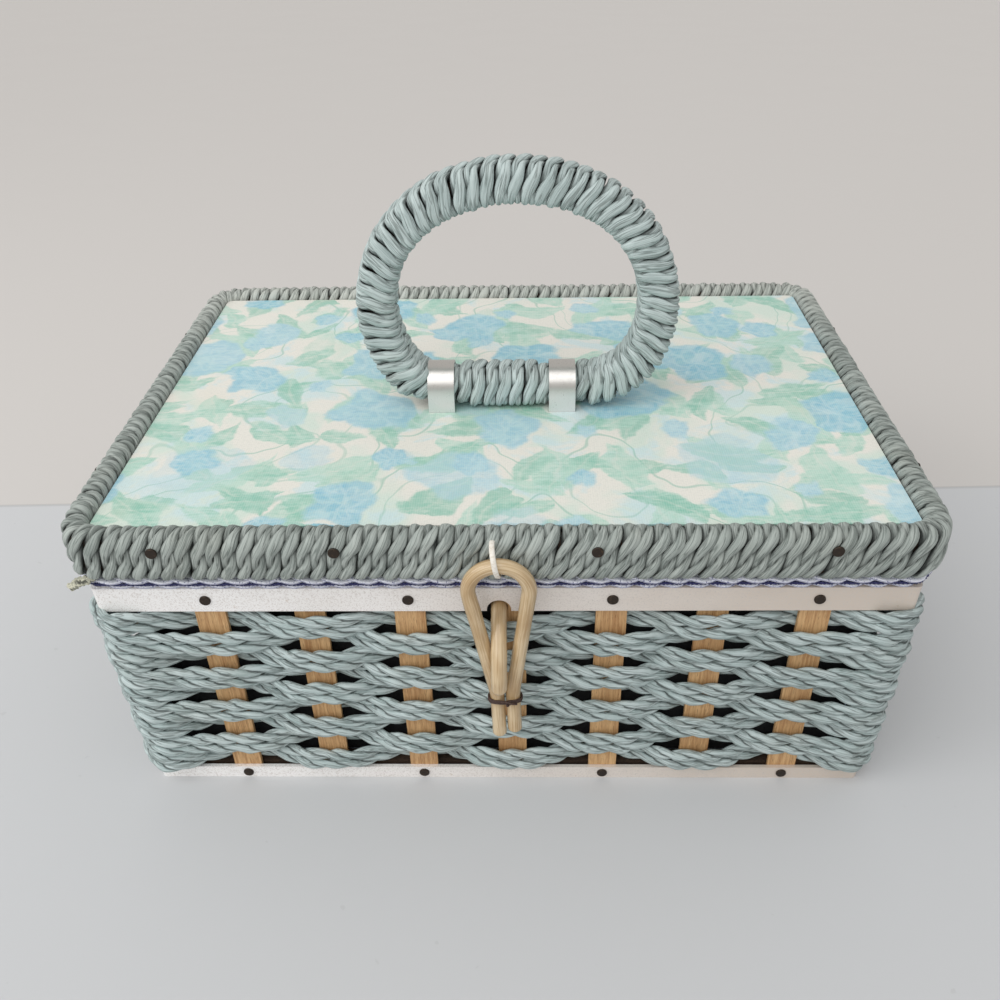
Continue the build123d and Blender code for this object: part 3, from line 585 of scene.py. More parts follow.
@dataclass(frozen=True)
class PrintedCloth(Finish):
    """Watercolour print on ribbed cloth under clear vinyl: blue blossoms, mint leaves, thin stems."""

    cream: tuple = srgb(229, 226, 216)
    mint: tuple = srgb(150, 204, 184)
    deep_mint: tuple = srgb(106, 180, 158)
    pale_mint: tuple = srgb(194, 222, 208)
    sky: tuple = srgb(148, 202, 214)
    deep_sky: tuple = srgb(100, 178, 204)
    lilac_sky: tuple = srgb(154, 198, 214)
    pale_sky: tuple = srgb(196, 222, 226)
    rib: tuple = srgb(255, 255, 250)
    weft: tuple = srgb(214, 218, 206)
    soil: tuple = srgb(214, 200, 170)
    fibre: tuple = srgb(176, 186, 176)
    stem_levels: tuple = ((0.5, 0.5), (0.4, 0.35))
    leaf_layers: tuple = ((0.0, 22.0, 12.0, 4.6), (61.0, 27.0, 15.0, 5.6), (137.0, 34.0, 18.0, 6.6))
    blossom_layers: tuple = ((83.0, 34.0, 5.6, 4.0), (19.0, 45.0, 12.0, 6.0))

    def scatter(self, shade: Shade, place: Value, cell: float) -> tuple:
        """A spot in each cell of the cloth, with its own numbers.

        Args:
            shade: The material that is being written.
            place: Wavering millimetres on the cloth.
            cell: Size of a cell.

        Returns:
            Offset from the spot, its turn and two random numbers of it.
        """
        cells = shade.add("ShaderNodeTexVoronoi", {"voronoi_dimensions": "2D"},
                          {"Vector": place, "Scale": 1 / cell, "Randomness": 0.7})
        dice = shade.add("ShaderNodeSeparateColor", {}, {"Color": cells["Color"]})
        return place - cells["Position"], dice["Red"] * TURN, dice["Green"], dice["Blue"]

    def leaves(self, shade: Shade, place: Value, cell: float, length: float, breadth: float) -> tuple:
        """One layer of broad pointed leaves, one to a cell, each turned its own way.

        Args:
            shade: The material that is being written.
            place: Wavering millimetres on the cloth.
            cell: Size of a cell.
            length: Half of a leaf's length.
            breadth: Half of its breadth.

        Returns:
            The leaves' mask, their middle veins' mask and a random number for each leaf.
        """
        offset, turn, chance, show = self.scatter(shade, place, cell)
        x = offset.part("X")
        y = offset.part("Y")
        along = x * shade.cosine(turn) + y * shade.sine(turn)
        across = y * shade.cosine(turn) - x * shade.sine(turn) + along * along * 0.014
        share = along * (1 / length)
        outline = shade.maths("MAXIMUM", 1 - share * share, 0.0) * (1 + share * 0.45) * breadth
        inside = outline - abs(across)
        mask = shade.step(inside, -0.2, 1.5) * shade.step(show, 0.08, 0.14)
        vein = shade.step(inside, 0.4, 1.4) * shade.fall(abs(across), 0.2, 0.9)
        return mask, vein, chance

    def blossoms(self, shade: Shade, place: Value, cell: float, size: float, spread: float) -> tuple:
        """One layer of round blossoms with faint petals, one to a cell.

        Args:
            shade: The material that is being written.
            place: Wavering millimetres on the cloth.
            cell: Size of a cell.
            size: Radius of the smallest blossom.
            spread: How much larger the largest one is.

        Returns:
            The blossoms' mask, their petals' pale edges and a random number for each blossom.
        """
        offset, turn, chance, show = self.scatter(shade, place, cell)
        angle = shade.maths("ARCTAN2", offset.part("Y"), offset.part("X")) + turn
        reach = shade.maths("LENGTH", offset)
        radius = (size + spread * chance) * (0.93 + 0.07 * shade.cosine(angle * 5.0))
        mask = shade.step(radius - reach, -0.8, 1.7) * shade.step(show, 0.1, 0.16)
        ring = abs(reach - radius * 0.52 - shade.cosine(angle * 5.0) * 1.6)
        petals = shade.fall(abs(shade.cosine(angle * 2.5)) * reach, 0.6, 2.6)
        return mask, shade.maths("MAXIMUM", petals, shade.fall(ring, 0.3, 1.7)), show

    def write(self, shade: Shade) -> None:
        """Writes the nodes."""
        flat = shade.place() * (1.0, 1.0, 0.0)
        wide_shift = shade.noise(flat, 0.035, 2.0, output="Color") - (0.5, 0.5, 0.5)
        fine_shift = shade.noise(flat, 0.2, 4.0, 0.66, output="Color") - (0.5, 0.5, 0.5)
        wavy = flat + wide_shift * 20.0 + fine_shift * 4.5
        washes = shade.noise(flat, 0.03, 3.0, 0.55, 0.4)
        blots = shade.noise(flat + (37.0, 11.0, 0.0), 0.045, 4.0, 0.6, 0.5)
        pigment = shade.noise(flat, 0.16, 5.0, 0.7)
        brush = shade.noise(flat * (0.14, 1.0, 0.0) + fine_shift * 2.0, 0.75, 4.0, 0.66)
        tint = shade.step(pigment * 0.6 + brush * 0.5, 0.38, 0.72)
        pools = shade.noise(wavy + (11.0, 53.0, 0.0), 0.13, 4.0, 0.62)

        colour = shade.mix(shade.step(washes, 0.47, 0.62) * 0.6, self.cream, self.pale_mint)
        colour = shade.mix(shade.step(blots, 0.51, 0.63) * 0.75, colour, self.pale_sky)
        stems = shade.noise(flat + wide_shift * 20.0, 0.022, 0.0)
        for level, strength in self.stem_levels:
            stem = shade.fall(abs(stems - level), 0.001, 0.008)
            colour = shade.mix(stem * strength, colour, self.deep_mint)

        for shift, cell, length, breadth in self.leaf_layers:
            mask, vein, chance = self.leaves(shade, wavy + (shift, shift * 0.7, 0.0), cell, length, breadth)
            leaf = shade.mix(shade.step(chance * 0.5 + tint * 0.5, 0.2, 0.85), self.pale_mint, self.deep_mint)
            leaf = shade.mix(vein * 0.25, shade.mix(0.4, leaf, self.mint), self.cream)
            colour = shade.mix(mask * (0.62 + 0.3 * tint), colour, leaf)

        for shift, cell, size, spread in self.blossom_layers:
            mask, edges, chance = self.blossoms(shade, wavy + (shift, -shift * 0.4, 0.0), cell, size, spread)
            wash = shade.mix(chance, self.lilac_sky, self.deep_sky)
            wash = shade.mix(tint, wash, shade.mix(chance, self.pale_sky, self.sky))
            wash = shade.mix(shade.step(pools, 0.5, 0.68) * 0.6, wash, self.pale_sky)
            wash = shade.mix(edges * (0.2 + 0.35 * pigment), wash, self.pale_sky)
            colour = shade.mix(mask * 0.9, colour, wash)

        ribs = shade.add("ShaderNodeTexWave", {"bands_direction": "X"},
                         {"Vector": flat, "Scale": 0.42, "Distortion": 0.6, "Detail": 1.0})["Fac"]
        weft = shade.noise(flat * (0.25, 1.0, 0.0), 2.4, 2.0)
        colour = shade.mix(ribs * 0.1, colour, self.rib)
        colour = shade.mix(shade.step(weft, 0.5, 0.8) * 0.14, colour, self.weft)
        soil = shade.step(shade.noise(flat + (5.0, 90.0, 0.0), 0.02, 4.0, 0.6), 0.55, 0.8)
        colour = shade.mix(soil * 0.22, colour, self.soil)
        fibres = shade.noise(flat, 1.1, 3.0, 0.8)
        colour = shade.mix(shade.fall(fibres, 0.36, 0.52) * 0.2, colour, self.fibre)
        height = ribs * 0.03 + weft * 0.02 + shade.noise(flat, 0.02, 2.0)
        shade.finish(Base_Color=colour, Roughness=shade.follow(pigment, 0.42, 0.52),
                     Coat_Weight=0.18, Coat_Roughness=0.3, Normal=shade.bump(height, 0.3, 2.0))


class Finishes:
    """Every finish of the basket, each made once."""

    weave = PaperCord("Weave cord", "weave_cord", srgb(201, 213, 212), srgb(153, 171, 169), 0.7)
    handle = PaperCord("Handle cord", "handle_cord", srgb(204, 216, 214), srgb(157, 172, 170), 0.84)
    rim = PaperCord("Rim cord", "rim_cord", srgb(181, 188, 182), srgb(135, 144, 139), 0.94)
    stray = PaperCord("Loose cord end", "rim_cord", srgb(224, 222, 200), srgb(190, 188, 168), 0.7)
    pearl = PearlFilm("Pearl film", "pearl_band")
    stave = GrainedWood("Stave splint", "stave_wood", srgb(216, 177, 128), srgb(176, 131, 87))
    rail = GrainedWood("Inner rail wood", "rail_wood", srgb(92, 66, 44), srgb(58, 40, 28), (0.05, 0.05, 1.0))
    lid_wood = GrainedWood("Lid plywood", "lid_wood", srgb(120, 90, 58), srgb(74, 52, 34), (0.05, 1.0, 1.0))
    # Near-black core, a painted shadow: it is seen only through the gaps between wraps.
    core = GrainedWood("Handle core", "core_wood", srgb(60, 46, 34), srgb(30, 24, 20), (0.1, 1.0, 0.1))
    rattan = Varnished("Varnished rattan", "rattan")
    nail = MetalFinish(
        "Dark nail steel", "nail_steel", srgb(58, 50, 44), srgb(96, 78, 60), (1.0, 1.0, 1.0), roughness=0.36,
        metallic=0.75, wear=0.6)
    # pale gives the straps' low parts a painted reflection.
    strap = MetalFinish(
        "Satin strap metal", "strap_metal", srgb(208, 207, 204), srgb(180, 174, 168), pale=0.5)
    wire = MetalFinish("Hinge wire", "hinge_wire", srgb(168, 166, 162), srgb(120, 108, 94), (0.04, 1.0, 1.0))
    satin = Satin("Blue satin", "satin")
    gimp = ThreadFinish(
        "Silver gimp", "braid", srgb(238, 240, 250), srgb(66, 70, 136), roughness=0.36, metallic=0.1,
        glint=0.85, base=0.12, flecks=(0.38, 0.46))
    navy = ThreadFinish("Navy gimp cord", "braid", srgb(46, 48, 104), srgb(20, 22, 58), 0.5)
    thread = ThreadFinish("Brown waxed thread", "thread", srgb(74, 50, 40), srgb(34, 22, 20), 0.5)
    hardboard = Board("Bottom hardboard", "base_board", srgb(78, 60, 46), srgb(48, 36, 28))
    # Near-black card on the pads' hidden side, a painted shadow seen through the weave's gaps.
    shadow_card = Board("Dark backing card", "satin", srgb(30, 30, 32), srgb(16, 16, 18), 0.9)
    lace = LacePlastic("Cream lace", "lace_plastic")
    printed = PrintedCloth("Printed cloth under vinyl", "printed_vinyl")

    def __init__(self) -> None:
        """Starts with no material made."""
        self.made: dict[str, bpy.types.Material] = {}

    def get(self, finish: Finish) -> bpy.types.Material:
        """The material of a finish, made when it is first asked for."""
        if finish.name not in self.made:
            self.made[finish.name] = finish.make()
        return self.made[finish.name]

    def dress(self, finish: Finish, *names: str) -> None:
        """Gives CAD nodes a finish in place of their own."""
        for name in names:
            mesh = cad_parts[name].data
            mesh.materials.clear()
            mesh.materials.append(self.get(finish))


# ---- strand making
class Recipe(Nodes):
    """A Geometry Nodes tree with named inputs that turns a route into strands."""

    SOCKETS = {float: "NodeSocketFloat", int: "NodeSocketInt", tuple: "NodeSocketVector",
               None: "NodeSocketMaterial"}

    def __init__(self, name: str, inputs: dict[str, Any]) -> None:
        """Starts the tree.

        Args:
            name: The tree's name.
            inputs: Default of each named input. None stands for a material.
        """
        super().__init__(bpy.data.node_groups.new(name, "GeometryNodeTree"))
        self.tree.interface.new_socket("Geometry", in_out="INPUT", socket_type="NodeSocketGeometry")
        self.tree.interface.new_socket("Geometry", in_out="OUTPUT", socket_type="NodeSocketGeometry")
        self.keys: dict[str, str] = {}
        for key, default in inputs.items():
            kind = self.SOCKETS[None if default is None else type(default)]
            item = self.tree.interface.new_socket(key, in_out="INPUT", socket_type=kind)
            if default is not None:
                item.default_value = default
            self.keys[key] = item.identifier
        self.given = self.add("NodeGroupInput", {}, {})
        self.curve = self.add("GeometryNodeMeshToCurve", {}, {"Mesh": self.given["Geometry"]})["Curve"]
        self.parts: list[Value] = []

    def grid(self, rings: Operand, sides: Operand) -> tuple[Value, Value, Value]:
        """A flat grid that becomes a tube.

        Args:
            rings: Steps along the strand.
            sides: Faces round it.

        Returns:
            The grid, the share along it and the angle round it.
        """
        made = self.add(
            "GeometryNodeMeshGrid", {},
            {"Size X": 1.0, "Size Y": 1.0, "Vertices X": rings + 1, "Vertices Y": sides + 1})
        position = self.add("GeometryNodeInputPosition", {}, {})["Position"]
        return made["Mesh"], position.part("X") + 0.5, (position.part("Y") + 0.5) * TURN

    def sample(self, curve: Value, share: Value) -> tuple[Value, Value]:
        """Place and direction on a curve at a share of its length."""
        made = self.add("GeometryNodeSampleCurve", {"mode": "FACTOR"}, {"Curves": curve, "Factor": share})
        return made["Position"], made["Tangent"]

    def tube(self, mesh: Value, place: Value, lay: Value, groove: Value) -> None:
        """Adds a strand: stores a grid's lay and groove, moves its points into place and welds its seam."""
        for kind, name, value in (("FLOAT_VECTOR", "lay", lay), ("FLOAT", "groove", groove)):
            mesh = self.add("GeometryNodeStoreNamedAttribute", {"data_type": kind, "domain": "POINT"},
                            {"Geometry": mesh, "Name": name, "Value": value})["Geometry"]
        moved = self.add("GeometryNodeSetPosition", {}, {"Geometry": mesh, "Position": place})["Geometry"]
        welded = self.add("GeometryNodeMergeByDistance", {}, {"Geometry": moved, "Distance": WELD})
        self.parts.append(welded["Geometry"])

    def end(self) -> None:
        """Joins the strands, realizes them, smooths them and gives them their material."""
        made: Any = self.parts
        for kind in ("JoinGeometry", "RealizeInstances", "SetShadeSmooth"):
            made = self.add(f"GeometryNode{kind}", {}, {"Geometry": made})["Geometry"]
        sockets = {"Geometry": made, "Material": self.given["Material"]}
        dressed = self.add("GeometryNodeSetMaterial", {}, sockets)["Geometry"]
        self.add("NodeGroupOutput", {}, {"Geometry": dressed})

    def make(self, name: str, points: Sequence[tuple], closed: bool,
             values: dict[str, Any]) -> bpy.types.Mesh:
        """Runs the tree on a route.

        Args:
            name: Name of the mesh.
            points: The line that the strands follow, in millimetres.
            closed: Whether its last point joins its first.
            values: Inputs that differ from their defaults, by name.

        Returns:
            The finished mesh, facing outwards.
        """
        holder = bpy.data.objects.new(name, route_mesh(name, points, closed))
        bpy.context.scene.collection.objects.link(holder)
        modifier = holder.modifiers.new("Strands", "NODES")
        modifier.node_group = self.tree
        for key, value in values.items():
            modifier[self.keys[key]] = value
        graph = bpy.context.evaluated_depsgraph_get()
        mesh = bpy.data.meshes.new_from_object(
            holder.evaluated_get(graph), preserve_all_data_layers=True, depsgraph=graph)
        mesh.name = name
        bpy.data.objects.remove(holder)
        face_outwards(mesh)
        return mesh


def face_outwards(mesh: bpy.types.Mesh) -> None:
    """Turns every closed shell of a mesh the right way out."""
    work = bmesh.new()
    work.from_mesh(mesh)
    bmesh.ops.recalc_face_normals(work, faces=work.faces)
    work.to_mesh(mesh)
    work.free()
    mesh.update()


def route_mesh(name: str, points: Sequence[tuple], closed: bool) -> bpy.types.Mesh:
    """A line as a mesh of points and edges.

    Args:
        name: Name of the mesh.
        points: Points in millimetres.
        closed: Whether the last point joins the first.

    Returns:
        The mesh, in metres.
    """
    count = len(points)
    edges = [(index, index + 1) for index in range(count - 1)]
    if closed:
        edges.append((count - 1, 0))
    mesh = bpy.data.meshes.new(name)
    mesh.from_pydata([[x * MM for x in point] for point in points], edges, [])
    return mesh


def line_length(points: Sequence[tuple], closed: bool) -> float:
    """Length of a line of points, in their own unit."""
    array = np.array(points, float)
    if closed:
        array = np.vstack([array, array[:1]])
    return float(np.linalg.norm(np.diff(array, axis=0), axis=1).sum())


class PlyShape:
    """How one ply of a cord moves round the cord's line and changes shape as it does."""

    def __init__(self, recipe: Recipe, angle: Value, around: Value) -> None:
        """Works out a ply's place and swell.

        Args:
            recipe: The tree that is being written.
            angle: How far round the cord's line it is.
            around: The angle round the ply itself.
        """
        given = recipe.given
        self.recipe = recipe
        side = recipe.sine(angle)
        front = recipe.cosine(angle)
        squeezed = side * side
        width = given["Ply width"] - (given["Ply width"] - given["Squeezed width"]) * squeezed
        height = given["Ply height"] + (given["Squeezed height"] - given["Ply height"]) * squeezed
        self.centre_across = given["Twist width"] * side
        self.centre_out = given["Twist height"] * front
        self.swell_across = width * recipe.cosine(around)
        self.swell_out = height * recipe.sine(around)
        self.across = self.centre_across + self.swell_across
        self.out = self.centre_out + self.swell_out

    def place(self, core: Value, out: Value, across: Value, swell: Value) -> Value:
        """Points of the ply about a cord's core, from the directions out of the cord and across it."""
        raised = core + out * (self.centre_out + self.swell_out * swell)
        return raised + across * (self.centre_across + self.swell_across * swell)

    def lay(self, ply: int, along: Value) -> Value:
        """Millimetres round and along the ply, moved on so that no two plies look alike."""
        given = self.recipe.given
        return self.recipe.vector(
            self.swell_across / MM + PLY_SHIFT * ply + given["Seed"] * SEED_SHIFT, self.swell_out / MM,
            along * given["Lay length"])


PLY_INPUTS = {
    "Rings": 400, "Sides": 8, "Twist width": 0.001, "Twist height": 0.0009, "Ply width": 0.0015,
    "Squeezed width": 0.0012, "Ply height": 0.0012, "Squeezed height": 0.0014, "Phase": 0.0,
    "Unevenness": 0.3, "Seed": 0.0, "Lay length": 100.0, "Axis": (0.0, 0.0, 1.0), "Material": None}


@dataclass(frozen=True)
class PlySizes:
    """The section of a cord's plies in millimetres, and how uneven they are.

    twist is how far a ply's middle strays across and out. width and height are half of its own, first where
    it is free and then where it is squeezed.
    """

    twist: tuple
    width: tuple
    height: tuple
    unevenness: float

    def inputs(self) -> dict[str, float]:
        """Inputs for a cord's tree, in metres."""
        keys = ("Twist width", "Twist height", "Ply width", "Squeezed width", "Ply height", "Squeezed height")
        sizes = (*self.twist, *self.width, *self.height)
        return {**{key: size * MM for key, size in zip(keys, sizes)}, "Unevenness": self.unevenness}


@dataclass(frozen=True)
class Winding:
    """How a cord is wound round a bar, in millimetres."""

    cord: PlySizes
    half_height: float
    squareness: float
    turns_per_wrap: float
    phase: float
    rings_per_wrap: int
    lay_per_wrap: float
    wander: float

    def inputs(self, wraps: int, half_depth: float, leans: tuple, seed: float) -> dict[str, Any]:
        """Inputs for the winding's tree.

        Args:
            wraps: Times that the cord goes round the bar.
            half_depth: Half of the bar's depth.
            leans: How far a wrap leans at the winding's start and at its end.
            seed: Seed of its unevenness.

        Returns:
            The inputs, in metres.
        """
        return {"Wraps": float(wraps), "Rings": wraps * self.rings_per_wrap, "Sides": 9,
                "Turns per wrap": self.turns_per_wrap, "Phase": self.phase, "Half depth": half_depth * MM,
                "Half height": self.half_height * MM, "Squareness": self.squareness, **self.cord.inputs(),
                "Wander": self.wander * MM, "Lean at start": leans[0] * MM, "Lean at end": leans[1] * MM,
                "Seed": seed, "Lay length": wraps * self.lay_per_wrap}


class TwistedCord(Recipe):
    """A cord of plies laid round each other that follows a route."""

    def __init__(self, plies: int, closed: bool) -> None:
        """Writes the tree.

        Args:
            plies: Number of plies.
            closed: Whether the cord is a ring. An open one has rounded ends.
        """
        super().__init__(
            f"Cord of {plies}" + (" in a ring" if closed else ""), {**PLY_INPUTS, "Turns": 10.0, "Cap": 0.01})
        given = self.given
        for ply in range(plies):
            mesh, along, around = self.grid(given["Rings"], given["Sides"])
            centre, heading = self.sample(self.curve, along)
            out = self.cross(heading, given["Axis"])
            across = self.cross(heading, out)
            fade = 1.0
            if closed:
                ring = self.vector(self.cosine(along * TURN), self.sine(along * TURN), given["Seed"])
                uneven = self.swing(ring, 14.0)
                plump = self.swing(ring + (3.0 + ply, 0.0, 7.0), 40.0)
            else:
                uneven = self.noise_line(along * 12.0 + given["Seed"], 1.0)
                plump = self.noise_line(along * 9.0 + given["Seed"] + 31.0 + ply, 1.0)
                near = self.maths("MINIMUM", along, 1 - along) / given["Cap"]
                near = self.maths("MINIMUM", near, 1.0)
                fade = self.maths("SQRT", self.maths("MAXIMUM", 1 - (1 - near) * (1 - near), 0.0))
            angle = along * given["Turns"] * TURN + given["Phase"] + uneven * given["Unevenness"] * 2.0
            angle = angle + ply * TURN / plies
            ply_shape = PlyShape(self, angle, around)
            swell = (1 + plump * given["Unevenness"] * 0.35) * fade
            reach = self.maths("SQRT", ply_shape.across * ply_shape.across + ply_shape.out * ply_shape.out)
            groove = reach / (given["Twist width"] + given["Squeezed width"])
            place = ply_shape.place(centre, out, across, swell)
            self.tube(mesh, place, ply_shape.lay(ply, along), groove)
        self.end()


class WoundCord(Recipe):
    """A cord wound closely round a bar of rounded-rectangle section that follows a ring-shaped route.

    It is round up to HELD_TO metres from the middle of a strap, and has the bar's shape from FREE_FROM on.
    """

    HELD_TO = 0.0066
    FREE_FROM = 0.009
    INPUTS = {
        **PLY_INPUTS, "From": 0.0, "To": 1.0, "Wraps": 50.0, "Turns per wrap": 3.0, "Half depth": 0.0035,
        "Half height": 0.007, "Squareness": 4.0, "Left strap": 9.0, "Right strap": 9.0, "Strap top": 0.0,
        "Lean at start": 0.0005, "Lean at end": 0.0005, "Wander": 0.0004}

    def __init__(self) -> None:
        """Writes the tree."""
        super().__init__("Wound cord", self.INPUTS)
        given = self.given
        section = self.section()
        for ply in range(2):
            mesh, along, around = self.grid(given["Rings"], given["Sides"])
            share = given["From"] + (given["To"] - given["From"]) * along
            wrap = given["Wraps"] * along
            centre, heading = self.sample(self.curve, share)
            turn = self.maths("FRACT", wrap)
            spot, spot_heading = self.sample(section, turn)
            held = self.held(centre)
            spot = spot + (self.round_spot(turn) - spot) * held
            round_heading = self.vector(self.sine(turn * TURN), self.cosine(turn * TURN) * -1, 0.0)
            spot_heading = self.maths("NORMALIZE", spot_heading + (round_heading - spot_heading) * held)
            out = self.cross(heading, given["Axis"])
            normal_out = spot_heading.part("Y")
            normal_up = spot_heading.part("X") * -1
            normal = out * normal_out + self.maths("NORMALIZE", given["Axis"]) * normal_up
            count = wrap + given["Seed"] * 10.0
            seam = self.step(along, 0.0, 0.02) * self.fall(along, 0.98, 1.0)
            lean = given["Lean at start"] + (given["Lean at end"] - given["Lean at start"]) * along
            lean = lean * (1 + self.noise_line(count * 0.5 + 3.0, 1.0) * 0.8)
            shift = lean * self.sine(wrap * TURN) * -1
            shift = shift + given["Wander"] * self.noise_line(count, 0.9) * seam
            sag = given["Wander"] * self.noise_line(count + 77.0, 1.3, 2.0) * 0.5 * seam
            core = centre + out * spot.part("X") + given["Axis"] * spot.part("Y") + heading * shift
            core = core + normal * sag
            uneven = self.noise_line(count * 0.5 + 11.0, 0.6, 2.0) + 0.5 * self.noise_line(count + 5.0, 2.6)
            angle = wrap * given["Turns per wrap"] * TURN + given["Phase"]
            angle = angle + uneven * given["Unevenness"] * seam + ply * math.pi
            ply_shape = PlyShape(self, angle, around)
            plump = self.noise_line(count + 23.0 + 40.0 * ply, 2.2)
            swell = 1 + plump * given["Unevenness"] * 0.28 * seam
            groove = 0.5 + 0.5 * ply_shape.out / (given["Twist height"] + given["Ply height"])
            place = ply_shape.place(core, normal, heading, swell)
            self.tube(mesh, place, ply_shape.lay(ply, along), groove)
        self.end()

    def round_spot(self, turn: Value) -> Value:
        """A point of the section where a strap holds it round."""
        x = self.cosine(turn * TURN) * self.given["Half depth"] * -1
        return self.vector(x, self.sine(turn * TURN) * self.given["Half depth"] * -1, 0.0)

    def held(self, centre: Value) -> Value:
        """One under a strap, else nought."""
        x = centre.part("X")
        left = abs(x - self.given["Left strap"])
        right = abs(x - self.given["Right strap"])
        near = self.fall(self.maths("MINIMUM", left, right), self.HELD_TO, self.FREE_FROM)
        return near * (centre.part("Z") < self.given["Strap top"])

    def section(self) -> Value:
        """The bar's section as a ring that starts inside, and goes under, outside and over."""
        circle = self.add("GeometryNodeCurvePrimitiveCircle", {}, {"Resolution": 96, "Radius": 1.0})["Curve"]
        position = self.add("GeometryNodeInputPosition", {}, {})["Position"]
        x = position.part("X")
        y = position.part("Y")
        power = self.given["Squareness"]
        grow = (abs(x) ** power + abs(y) ** power) ** (-1 / power)
        place = self.vector(
            x * grow * self.given["Half depth"] * -1, y * grow * self.given["Half height"] * -1, 0.0)
        return self.add("GeometryNodeSetPosition", {}, {"Geometry": circle, "Position": place})["Geometry"]


class Plait(Recipe):
    """A flat plait of strands that follows a ring-shaped route."""

    INPUTS = {"Rings": 900, "Sides": 8, "Repeats": 36.0, "Half width": 0.0026, "Lift": 0.0005,
              "Strand width": 0.0016, "Strand height": 0.0006, "Wander": 0.0001, "Seed": 0.0,
              "Lay length": 900.0, "Axis": (0.0, 0.0, 1.0), "Material": None}

    def __init__(self, strands: int) -> None:
        """Writes the tree for a number of strands."""
        super().__init__(f"Plait of {strands}", self.INPUTS)
        given = self.given
        for strand in range(strands):
            mesh, along, around = self.grid(given["Rings"], given["Sides"])
            centre, heading = self.sample(self.curve, along)
            out = self.cross(heading, given["Axis"])
            beat = along * given["Repeats"] * TURN + strand * TURN / strands
            ring = self.vector(self.cosine(along * TURN), self.sine(along * TURN), given["Seed"] + strand)
            crinkle = (self.noise(ring, 260.0, 2.0, 0.7) - 0.5) * given["Wander"] * NOISE_SPAN
            drift = (self.noise(ring + (0.0, 0.0, 9.0), 30.0, 1.0) - 0.5) * given["Wander"] * NOISE_SPAN
            width = given["Strand width"] + crinkle
            height = given["Strand height"] + crinkle * 0.5
            across = self.sine(beat) * given["Half width"] + width * self.cosine(around) + drift
            up = self.sine(beat * 2.0) * given["Lift"] + height * self.sine(around)
            place = centre + out * across + given["Axis"] * up
            lay = self.vector(self.cosine(around) * 1.6 + 11.0 * strand, self.sine(around) * 0.8,
                              along * given["Lay length"])
            self.tube(mesh, place, lay, 0.5 + 0.5 * abs(self.sine(around)))
        self.end()


# ---- pieces
def new_piece(name: str, mesh: bpy.types.Mesh) -> bpy.types.Object:
    """Links a mesh to the scene as an object at the origin."""
    piece = bpy.data.objects.new(name, mesh)
    bpy.context.scene.collection.objects.link(piece)
    return piece


def join_strands(name: str, meshes: Sequence[bpy.types.Mesh], body: Body, slot: str, *replaced: str) -> None:
    """Args:
        name: Name of the piece.
        meshes: Its meshes, which keep their stored lay.
        body: The body that carries it.
        slot: The record's material slot.
        replaced: CAD nodes that it replaces.
    """
    parts = [new_piece(name, mesh) for mesh in meshes]
    if len(parts) > 1:
        with bpy.context.temp_override(active_object=parts[0], object=parts[0], selected_objects=parts,
                                       selected_editable_objects=parts):
            bpy.ops.object.join()
    settle(parts[0], body, slot, *replaced)


def settle(piece: bpy.types.Object, body: Body, slot: str, *replaced: str) -> None:
    """Attaches a piece to the body that it rides on, hides the CAD nodes that it stands for and logs it.

    Args:
        piece: The finished piece.
        body: The body that carries it.
        slot: The record's material slot; not used.
        replaced: CAD nodes that it replaces.
    """
    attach(piece, body.value)
    if replaced:
        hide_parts(*replaced)
    LOG.info("%s: %d faces, on the %s", piece.name, len(piece.data.polygons), body.value)


@dataclass
class WallPlan:
    """The basket's leaning walls, as the solids have them."""

    base_length: float = 256.2
    base_width: float = 184.0
    height: float = 92.0
    flare: float = 3.6
    band_low: float = 5.6
    top_band_low: float = 82.4
    courses: int = 9
    stave_middle: float = 2.25
    long_count: int = 7
    short_count: int = 5
    long_end_gap: float = 34.0
    short_end_gap: float = 27.0
    shift: float = 2.4

    def reach(self, long_wall: bool, z: float, depth: float = 0.0) -> float:
        """Distance from the middle of the basket to a wall's layer at a height."""
        base = self.base_width if long_wall else self.base_length
        return base / 2 + self.flare * z / self.height - depth

    def stave_spots(self, wall: str) -> list[float]:
        """Places of the staves along a wall, left to right as seen from outside."""
        long_wall = wall in ("front", "back")
        count = self.long_count if long_wall else self.short_count
        gap = self.long_end_gap if long_wall else self.short_end_gap
        first = gap - self.reach(not long_wall, self.height)
        shift = {"front": self.shift, "back": -self.shift}.get(wall, 0.0)
        return [first + shift - 2 * first / (count - 1) * index for index in range(count)]

    def course_middle(self, number: int) -> float:
        """Height of the middle of a course of the weave."""
        return self.band_low + (self.top_band_low - self.band_low) / self.courses * (number - 0.5)


def rounded_ring(half_x: float, half_y: float, radius: float, step: float, z: float) -> list[tuple]:
    """A rounded rectangle of evenly spaced points, from the middle of its front-left corner, anticlockwise.

    Args:
        half_x: Half of its length.
        half_y: Half of its width.
        radius: Radius of its corners.
        step: Distance between points.
        z: Its height.

    Returns:
        The points.
    """
    flats = [2 * (half_x - radius), 2 * (half_y - radius)] * 2
    arc = math.pi / 2 * radius
    total = sum(flats) + 4 * arc
    count = round(total / step)
    points = []
    for index in range(count):
        travelled = total * index / count + arc / 2
        side = 0
        while travelled > arc + flats[side]:
            travelled -= arc + flats[side]
            side = (side + 1) % 4
        reach = (half_y, half_x)[side % 2]
        along = (half_x, half_y)[side % 2]
        if travelled <= arc:
            turn = math.pi / 2 * travelled / arc if arc else 0.0
            local = (-along + radius - radius * math.cos(turn), -reach + radius - radius * math.sin(turn))
        else:
            local = (-along + radius + travelled - arc, -reach)
        points.append(turned(local, side, z))
    return points


def turned(local: tuple[float, float], side: int, z: float) -> tuple[float, float, float]:
    """A point of the front wall's plan turned onto the wall that is side quarter turns on."""
    x, y = local
    for _ in range(side % 4):
        x, y = -y, x
    return (x, y, z)


